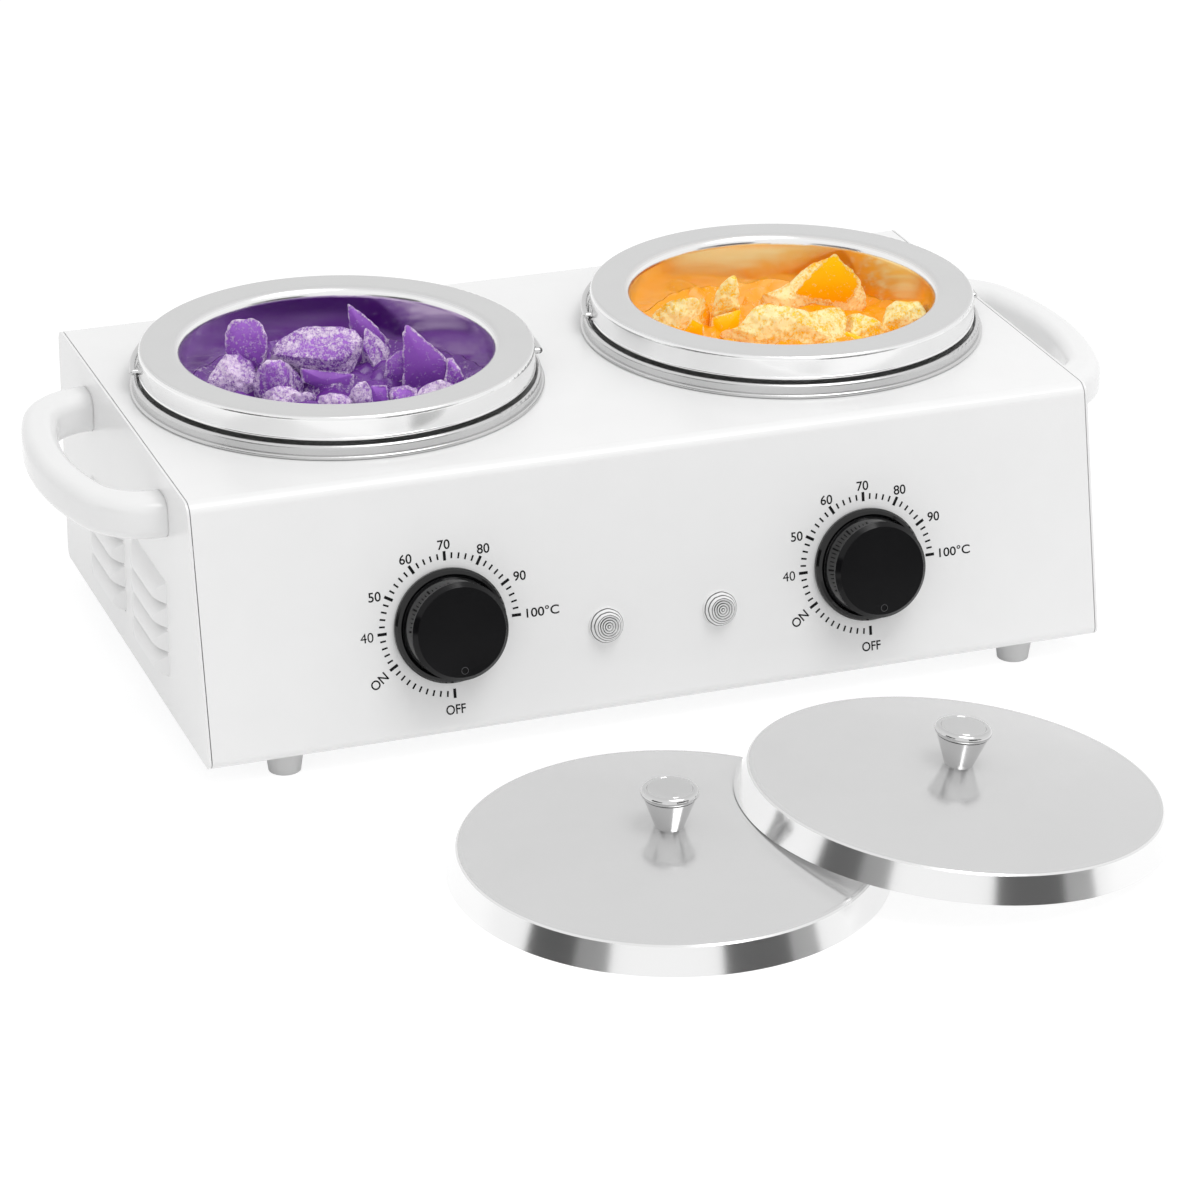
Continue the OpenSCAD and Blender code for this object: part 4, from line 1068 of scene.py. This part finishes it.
@dataclass
class Heap:
    """Broken wax in a pot: a bed of rubble with larger pieces standing in it.

    Noise is given as layers, each with its cell size, the step of its seed and its height.

    Attributes:
        side: the pot.
        finish: the wax.
        shards: its larger pieces.
        facing: degrees that the faces of the pieces are turned from the front.
        columns: points on a ring of a piece.
        face_rings: rings of points on a face.
        side_rings: rings on the sides.
        back_rings: rings on the back.
        crease: degrees between faces at which an edge stays sharp.
        easing: how often an outline's corners are eased.
        bulge: how far a face stands out in its middle, at most.
        bulge_share: the same in parts of the thickness.
        first_side: depth of the first ring behind the face, in parts of the thickness.
        flare: size of the sides at the face, in parts of the outline.
        taper: how much smaller they are at the back.
        fall: how far a piece drops behind its face, for each millimetre of depth.
        breaks: flat breaks on a frosty piece.
        broken_from: frost above which a piece has them.
        break_tilt: least and greatest angle from a break to the face, in radians.
        break_depth: least and greatest depth of a break, in parts of the piece.
        face_frost: share of a piece's frost on its face.
        border: size of the rings where the frosty border of a face starts and is full.
        border_frost: mean frost of that border.
        border_noise: change of that frost.
        side_frost: frost of the sides at the face and at the back.
        frost_noise: change of all frost, in parts of it.
        rough_noise: bumps of the frost.
        wave_noise: bumps of a clean break.
        face_thin: share of painted light in the colour of a clean face, at its bottom and its top, standing
            in for light that comes through the wax.
        bed_r: radius of the wax, just inside the pot's wall.
        bed_up: mean height of the rubble from the rim.
        bed_low: underside of the wax.
        bed_seed: number that picks the rubble.
        under_rings: rings on the underside.
        under_reach: size of the last of them.
        rubble: larger lumps of the bed.
        grit: small lumps of the bed.
        wall_from: radius where the wax starts to climb the wall, in parts of the whole.
        climb: how far it stands up along the wall.
        calm: how much flatter the rubble is there.
        bed_frost: noise that makes the bed frosty.
        bed_bare: value of that noise below which the bed has no frost.
        bed_thin: share of that painted light on the bed.
    """

    side: Side
    finish: Wax
    shards: list
    facing: float = -20.3
    columns: int = 120
    face_rings: int = 14
    side_rings: int = 8
    back_rings: int = 5
    crease: float = 32.0
    easing: int = 3
    bulge: float = 2.0
    bulge_share: float = 0.15
    first_side: float = 0.1
    flare: float = 1.03
    taper: float = 0.2
    fall: float = 0.42
    breaks: int = 9
    broken_from: float = 0.3
    break_tilt: tuple = (0.5, 1.2)
    break_depth: tuple = (0.05, 0.17)
    face_frost: float = 0.9
    border: tuple = (0.86, 0.96)
    border_frost: float = 0.75
    border_noise: tuple = ((5.0, 0, 0.5),)
    side_frost: tuple = (0.92, 0.1)
    frost_noise: tuple = ((7.0, 5, 0.5),)
    rough_noise: tuple = ((5.0, 0, 2.0), (2.0, 7, 1.5))
    wave_noise: tuple = ((11.0, 3, 1.0),)
    face_thin: tuple = (0.3, 1.0)
    bed_r: float = 66.6
    bed_up: float = -24.0
    bed_low: float = -40.0
    bed_seed: int = 90
    under_rings: int = 4
    under_reach: float = 0.2
    rubble: tuple = ((15.0, 0, 8.0), (6.0, 1, 6.0))
    grit: tuple = ((2.5, 2, 2.0),)
    wall_from: float = 0.9
    climb: float = 2.0
    calm: float = 0.6
    bed_frost: tuple = ((9.0, 3, 1.0),)
    bed_bare: float = -0.05
    bed_thin: float = 0.2

    @property
    def rings(self) -> int:
        """Rings of points between the two poles of a piece."""
        return self.face_rings + self.side_rings + self.back_rings

    def grid(self) -> tuple[np.ndarray, np.ndarray]:
        """Numbers the points of a piece: one pole, ring after ring, and the other pole.

        Returns:
            Ring and column of each point.
        """
        ring = np.repeat(np.arange(1, self.rings + 1), self.columns)
        column = np.tile(np.arange(self.columns), self.rings)
        return np.concatenate([[0], ring, [self.rings + 1]]), np.concatenate([[0], column, [0]])

    def edge(self, shard: Shard) -> np.ndarray:
        """Outline of a face as even steps, with its corners eased by averages of neighbouring points.

        Args:
            shard: the piece.

        Returns:
            Points across and up.
        """
        corners = np.array(shard.outline + shard.outline[:1])
        length = np.concatenate([[0], np.cumsum(np.linalg.norm(np.diff(corners, axis=0), axis=1))])
        at = np.linspace(0, length[-1], self.columns, endpoint=False)
        edge = np.stack([np.interp(at, length, corners[:, k]) for k in (0, 1)], -1)
        for _ in range(self.easing):
            edge = (np.roll(edge, 1, axis=0) + 2 * edge + np.roll(edge, -1, axis=0)) / 4
        return edge

    def broken(self, points: np.ndarray, seed: int) -> np.ndarray:
        """Gives a piece flat breaks: planes at random, on to which the points past them are pressed.

        Args:
            points: points of the piece.
            seed: number that picks the planes.

        Returns:
            The moved points.
        """
        dice = np.random.default_rng(seed)
        for _ in range(self.breaks):
            turn, tilt = dice.uniform(0, 2 * math.pi), dice.uniform(*self.break_tilt)
            flat = math.sin(tilt)
            normal = np.array([math.cos(turn) * flat, math.cos(tilt), math.sin(turn) * flat])
            height = points @ normal
            over = height - height.max() + dice.uniform(*self.break_depth) * np.ptp(height)
            points = points - np.maximum(over, 0)[:, None] * normal
        return points

    def shard(self, shard: Shard) -> tuple[np.ndarray, np.ndarray, np.ndarray]:
        """A slab: rings grow from the middle of the face to its outline, run back along the sides and close.

        A frosty piece then gets flat breaks, and noise moves all points away from the slab's middle, more
        where it is frosty.

        Args:
            shard: the piece.

        Returns:
            Points in millimetres across, ahead and up, how frosty each is, and its share of painted light.
        """
        edge = self.edge(shard)
        middle, bottom = edge.mean(axis=0), edge[:, 1].min()
        face = np.linspace(0, 1, self.face_rings + 1)[1:]
        sides = np.linspace(self.first_side, 1, self.side_rings)
        back = np.linspace(1, 0, self.back_rings + 2)[1:]
        size = np.concatenate([[0], face, self.flare - self.taper * sides, (self.flare - self.taper) * back])
        bulge = min(self.bulge, shard.thick * self.bulge_share)
        depth = np.concatenate([[bulge], bulge * (1 - face ** 2), -shard.thick * sides,
                                np.full_like(back, -shard.thick)])
        ring, column = self.grid()
        size, depth = size[ring], depth[ring]
        flat = middle + (edge[column] - middle) * size[:, None]
        points = np.stack([flat[:, 0], shard.ahead + depth,
                           flat[:, 1] + np.minimum(depth, 0) * self.fall], -1)
        behind = np.clip((ring - self.face_rings) / self.side_rings, 0, 1)
        border = self.border_frost + lumps(points, shard.seed, self.border_noise)
        on_face = np.maximum(shard.frost * self.face_frost, np.interp(size, self.border, (0, 1)) * border)
        frost = np.where(ring <= self.face_rings, on_face, np.interp(behind, (0, 1), self.side_frost))
        frost = np.clip(frost * (1 + lumps(points, shard.seed, self.frost_noise)), 0, 1)
        if shard.frost > self.broken_from:
            points = self.broken(points, shard.seed)
        rough = lumps(points, shard.seed, self.rough_noise)
        wave = lumps(points, shard.seed, self.wave_noise)
        out = points - (middle[0], shard.ahead - shard.thick / 2, middle[1])
        out /= np.linalg.norm(out, axis=1, keepdims=True)
        points = points + out * (frost * rough + (1 - frost) * wave)[:, None]
        # Painted light: the bright share rises from the bottom to the top of a face and fades to none along
        # the sides
        low, high = self.face_thin
        thin = (low + (high - low) * (flat[:, 1] - bottom) / np.ptp(edge[:, 1])) * (1 - behind)
        return points, frost, thin

    def bed(self) -> tuple[np.ndarray, np.ndarray, np.ndarray]:
        """Rubble across the pot, as a disc whose top is raised by noise of three sizes.

        Returns:
            Points in millimetres across, ahead and up, how frosty each is, and its share of painted light.
        """
        top = self.rings - self.under_rings
        under = np.linspace(1, self.under_reach, self.under_rings)
        ring, column = self.grid()
        reach = np.concatenate([np.linspace(0, 1, top + 1), under, [0]])[ring]
        points = np.column_stack([circle(self.columns)[column] * reach[:, None] * self.bed_r,
                                  np.zeros(len(ring))])
        by_wall = np.interp(reach, (self.wall_from, 1), (0, 1)) ** 2
        upper = lumps(points, self.bed_seed, self.rubble) * (1 - self.calm * by_wall)
        upper += lumps(points, self.bed_seed, self.grit) + self.bed_up + self.climb * by_wall
        points[:, 2] = np.where(ring <= top, upper, self.bed_low)
        frost = np.clip(lumps(points, self.bed_seed, self.bed_frost) - self.bed_bare, 0, 1)
        points[:, 1] *= -1
        return points, frost, np.full(len(points), self.bed_thin)

    def faces(self) -> np.ndarray:
        """Triangles of one piece: a fan at each pole and two for each quad between the rings.

        Returns:
            Array of three point numbers for each triangle.
        """
        column = np.arange(self.columns)
        last = 1 + (self.rings - 1) * self.columns
        quads = 1 + grid_faces(self.rings, self.columns)[:, ::-1]
        return np.concatenate([fan_faces(0, 1 + column), quads[:, [0, 1, 2]], quads[:, [0, 2, 3]],
                               fan_faces(last + self.columns, last + column)[:, ::-1]])

    def build(self) -> None:
        """Joins the bed and the pieces into one that lifts out with its pot."""
        turn = math.radians(self.facing)
        across = np.array([math.cos(turn), math.sin(turn), 0])
        ahead = np.array([math.sin(turn), -math.cos(turn), 0])
        shapes = [self.bed()] + [self.shard(shard) for shard in self.shards]
        local, frost, thin = (np.concatenate(part) for part in zip(*shapes))
        points = local[:, :1] * across + local[:, 1:2] * ahead + local[:, 2:] * [0, 0, 1]
        reach = np.hypot(points[:, 0], points[:, 1])
        points[:, :2] *= np.minimum(1, self.bed_r / np.maximum(reach, 1))[:, None]
        points += (self.side.value * POT_X, POT_Y, RIM_Z)
        one, count = self.faces(), len(points) // len(shapes)
        faces = np.concatenate([one + number * count for number in range(len(shapes))]).tolist()
        piece = make_piece(f"{self.side.word}_wax", points * MM, faces, self.finish.material(),
                           f"{self.side.word}_pot_body")
        piece.data.set_sharp_from_angle(angle=math.radians(self.crease))
        for name, values in (("frost", frost), ("thin", thin)):
            layer = piece.data.attributes.new(name, "FLOAT", "POINT")
            layer.data.foreach_set("value", values.astype(np.float32))


# Larger pieces of the violet wax
VIOLET_SHARDS = [
    Shard(-46, 9, 0.1, 51, ((2.6, -9.5), (3.8, -21.2), (10.7, -24.0), (19.5, -22.0), (18.7, -15.5),
        (15.3, -10.8), (9.7, -5.2), (4.1, -0.6), (2.2, 0.5))),
    Shard(-28, 20, 0.62, 52, ((8.0, -29.1), (15.9, -30.0), (22.4, -26.2), (22.1, -16.4), (19.6, -11.8),
        (15.3, -6.7), (11.0, -3.9), (9.2, -11.8))),
    Shard(-14, 16, 0.3, 53, ((-40.8, -19.2), (-33.0, -17.3), (-31.5, -9.9), (-31.1, -2.5), (-32.9, 3.0),
        (-37.1, 5.5), (-42.3, 5.2), (-46.2, 3.8), (-48.5, -0.8), (-48.9, -6.8), (-48.5, -16.5))),
    Shard(-8, 30, 0.6, 54, ((-22.6, -16.8), (-14.5, -18.1), (-3.7, -18.9), (6.2, -19.8), (7.5, -13.8),
        (9.8, -7.3), (10.5, -0.9), (7.4, 4.1), (-1.1, 5.9), (-11.8, 6.1), (-19.6, 4.4), (-25.7, -0.2),
        (-29.3, -5.3), (-31.1, -12.2))),
    Shard(-10, 14, 0.0, 55, ((-15.6, -22.1), (-9.1, -25.3), (-1.4, -26.2), (5.1, -23.8), (6.1, -18.3),
        (-16.7, -15.7))),
    Shard(-16, 10, 0.25, 56, ((25.1, -25.2), (28.6, -22.4), (28.4, -9.4), (24.5, -10.3), (20.5, -14.1),
        (20.0, -22.4))),
    Shard(-10, 12, 0.04, 57, ((27.6, -7.1), (27.6, -24.6), (37.0, -25.5), (47.0, -22.7), (47.5, -14.3),
        (45.4, -9.7), (40.3, -5.1), (35.2, -0.1), (30.1, 4.7), (28.6, 5.1))),
    Shard(-5, 10, 0.35, 58, ((46.3, -24.8), (51.0, -25.3), (54.9, -21.5), (54.1, -16.9), (51.5, -11.4),
        (49.0, -7.7), (46.4, -8.7), (45.4, -21.6))),
    Shard(1, 20, 0.97, 59, ((-54.0, -25.4), (-44.2, -27.2), (-36.0, -24.4), (-34.9, -14.7), (-36.4, -7.8),
        (-41.4, -4.1), (-47.9, -4.6), (-51.4, -7.9), (-53.2, -12.5), (-55.5, -16.2), (-57.8, -21.7))),
    Shard(6, 20, 0.42, 60, ((-30.9, -25.6), (-22.4, -25.0), (-14.6, -23.1), (-13.6, -16.7), (-15.6, -12.1),
        (-19.8, -8.5), (-24.0, -5.3), (-30.0, -5.3), (-34.4, -9.5), (-37.1, -15.9), (-37.3, -23.3))),
    Shard(11, 12, 0.02, 61, ((18.6, -26.5), (22.4, -24.1), (21.3, -15.4), (14.9, -15.0), (13.9, -24.6))),
    Shard(12, 12, 0.4, 62, ((27.2, -26.0), (34.9, -22.3), (35.0, -15.8), (28.2, -14.5), (22.2, -15.5),
        (20.8, -25.1))),
    Shard(10, 12, 1.0, 63, ((39.9, -25.8), (50.6, -22.1), (53.2, -16.5), (49.4, -14.7), (44.7, -12.4),
        (40.0, -13.9), (35.7, -16.6), (32.2, -24.0))),
    Shard(16, 12, 0.85, 64, ((11.1, -25.4), (16.3, -22.6), (15.1, -14.4), (13.1, -11.2), (9.6, -12.1),
        (6.2, -15.3), (4.7, -24.5))),
    Shard(18, 14, 0.95, 65, ((-27.1, -25.8), (-15.2, -25.7), (-6.6, -22.9), (-7.4, -17.4), (-15.0, -16.1),
        (-19.2, -13.3), (-24.3, -12.9), (-30.3, -15.7), (-33.9, -22.1))),
    Shard(19, 12, 0.9, 66, ((-2.4, -25.7), (7.0, -24.2), (7.6, -18.7), (4.2, -16.0), (-2.2, -15.6),
        (-7.3, -17.0), (-9.1, -22.5))),
]
# Larger pieces of the amber wax
AMBER_SHARDS = [
    Shard(-36, 18, 1.0, 71, ((-3.4, -30.2), (10.1, -31.1), (28.2, -31.0), (41.2, -28.0), (41.3, -18.4),
        (38.4, -10.8), (31.9, -2.2), (24.8, 4.7), (17.5, 0.6), (10.8, -4.2), (5.2, -11.0), (-1.5, -14.4),
        (-9.5, -18.7), (-10.3, -28.3))),
    Shard(-32, 3.5, 0.0, 72, ((18.2, -0.8), (13.0, -7.0), (9.1, -11.8), (6.9, -15.7), (18.7, -18.2),
        (31.3, -19.8), (34.7, -14.1), (35.9, -8.8), (30.3, -1.7), (24.7, 4.7))),
    Shard(-17, 8, 0.8, 73, ((-18.5, -23.1), (-17.5, -18.3), (-18.7, -8.8), (-19.3, -0.8), (-20.7, 0.4),
        (-25.9, -5.5), (-28.9, -11.7), (-30.6, -22.2))),
    Shard(-14, 10, 0.06, 74, ((-22.0, -33.0), (-17.2, -25.7), (-17.8, -16.0), (-24.4, -18.2),
        (-29.8, -20.6), (-31.3, -33.5))),
    Shard(-4, 20, 1.0, 75, ((-52.5, -27.8), (-40.0, -31.6), (-31.1, -31.5), (-29.5, -22.9), (-28.7, -13.5),
        (-30.6, -6.9), (-33.7, -8.3), (-38.1, -6.9), (-44.8, -6.5), (-51.4, -8.9), (-57.1, -12.7),
        (-60.2, -21.2))),
    Shard(-0.5, 4, 0.0, 76, ((-34.4, -24.0), (-34.9, -18.3), (-39.0, -15.3), (-44.2, -23.6))),
    Shard(-6, 16, 0.86, 77, ((47.2, -27.0), (55.6, -27.0), (63.1, -25.0), (65.1, -17.4), (64.4, -10.8),
        (62.1, -7.5), (57.3, -8.2), (50.6, -8.0), (46.7, -11.8), (45.2, -21.3))),
    Shard(-2, 14, 0.72, 78, ((27.9, -28.5), (37.7, -29.4), (47.0, -26.4), (45.4, -17.9), (40.4, -14.2),
        (34.1, -11.8), (28.4, -13.3), (26.8, -20.9))),
    Shard(2, 10, 0.1, 79, ((33.1, -30.7), (44.1, -28.7), (44.0, -24.4), (36.0, -22.6), (28.8, -19.8),
        (25.5, -26.5))),
    Shard(5, 24, 0.96, 80, ((-20.2, -32.7), (-0.2, -32.6), (21.9, -30.5), (27.5, -25.8), (29.5, -17.2),
        (31.5, -9.7), (28.3, -5.5), (21.3, -6.9), (12.5, -9.8), (3.6, -7.0), (-7.4, -5.7), (-13.1, -8.1),
        (-17.4, -14.7), (-26.1, -23.3), (-34.4, -30.0))),
    Shard(18, 12, 0.9, 81, ((16.9, -28.3), (30.0, -26.4), (31.2, -22.1), (27.6, -18.9), (19.2, -17.5),
        (13.2, -20.8), (8.0, -24.6))),
    Shard(16, 12, 0.95, 82, ((-13.9, -30.3), (3.7, -28.3), (1.4, -23.6), (-7.4, -21.7), (-16.3, -19.9),
        (-22.9, -21.4), (-29.4, -26.6))),
]


@dataclass
class Warmer:
    """Every CAD node with its finish.

    Attributes:
        lid_lean: degrees that the right lid leans.
        lamp_x: distance of a lamp from the middle.
        lamp_z: height of the lamps.
        plated: nodes that are plated with zinc, apart from those on both sides.
        plated_pairs: those on both sides.
    """

    lid_lean: float = 5.95116
    lamp_x: float = 25.5
    lamp_z: float = 45.6
    plated: tuple = ("foot_screws", "base_screws", "back_screws", "handle_screws", "heater_clamp_screws",
                     "tie_rod_nuts", "thermostat_screws", "lamp_nuts", "earth_stud")
    plated_pairs: tuple = ("tie_rod", "thermostat", "spindle", "lid_screw")

    def lid_axis(self, side: Side) -> Matrix:
        """Place and lean of a lid: the left one lies flat, and the right one leans about its right edge.

        Args:
            side: which lid.

        Returns:
            Frame whose Z is the lid's axis, in metres.
        """
        x, y, _ = LEFT_LID.mean(axis=0)
        if side is Side.LEFT:
            return Matrix.Translation(Vector((x, y, 0)) * MM)
        edge = Vector((RIGHT_LID[1, 0], RIGHT_LID.mean(axis=0)[1], 0))
        radius = Vector((LEFT_LID[1, 0] - x, 0, 0))
        lean = Euler((0, math.radians(self.lid_lean), 0)).to_matrix().to_4x4()
        return Matrix.Translation(edge * MM) @ lean @ Matrix.Translation(-radius * MM)

    def dress(self) -> None:
        """Gives every CAD node its finish, turned pieces round their own axes."""
        paint(ENAMEL, ["housing_wrap"] + pair("end_panel"))
        paint(ZINC, [*self.plated, *pair(*self.plated_pairs)])
        paint(GALVANISED, ["base_plate"] + pair("heater_band"))
        paint(RUBBER, [f"{end}_{foot}" for end in ("front", "rear") for foot in pair("foot")])
        paint(WHITE_ABS, ["terminal_block"] + pair("handle", "lamp_body"))
        paint(BLACK_ABS, ["cord_gland", "gland_nut"] + pair("thermal_cutout", "knob"))
        paint(COPPER, pair("sensor_bulb"))
        paint(GLASS, pair("lamp_bulb"))
        paint(CHROME, pair("bail", "lid_knob"))
        for side in Side:
            word, mark = side.word, f"_{side.word}"
            pot = Matrix.Translation(Vector((side.value * POT_X, POT_Y, 0)) * MM)
            paint(POT_STEEL, [f"{word}_heating_well", f"{word}_pot"], pot, mark)
            paint(SATIN_STEEL, [f"{word}_collar_ring"], pot, mark)
            paint(SPUN_STEEL, [f"{word}_lid"], self.lid_axis(side), mark)
            knob = on_panel(side.value * Dial.knob_x, Dial.knob_z)
            paint(TURNED_ABS, [f"{word}_knob_cap"], knob, mark)
            lamp = on_panel(side.value * self.lamp_x, self.lamp_z)
            paint(ACRYLIC, [f"{word}_lamp_lens"], lamp, mark)


def main() -> None:
    """Builds the scene in order."""
    Shot().build()
    Studio().build()
    warmer = Warmer()
    warmer.dress()
    Grips().build()
    LidKnobs().build(warmer)
    Dial().build()
    Heap(Side.LEFT, VIOLET_WAX, VIOLET_SHARDS).build()
    Heap(Side.RIGHT, AMBER_WAX, AMBER_SHARDS).build()


if __name__ == "__main__":
    main()
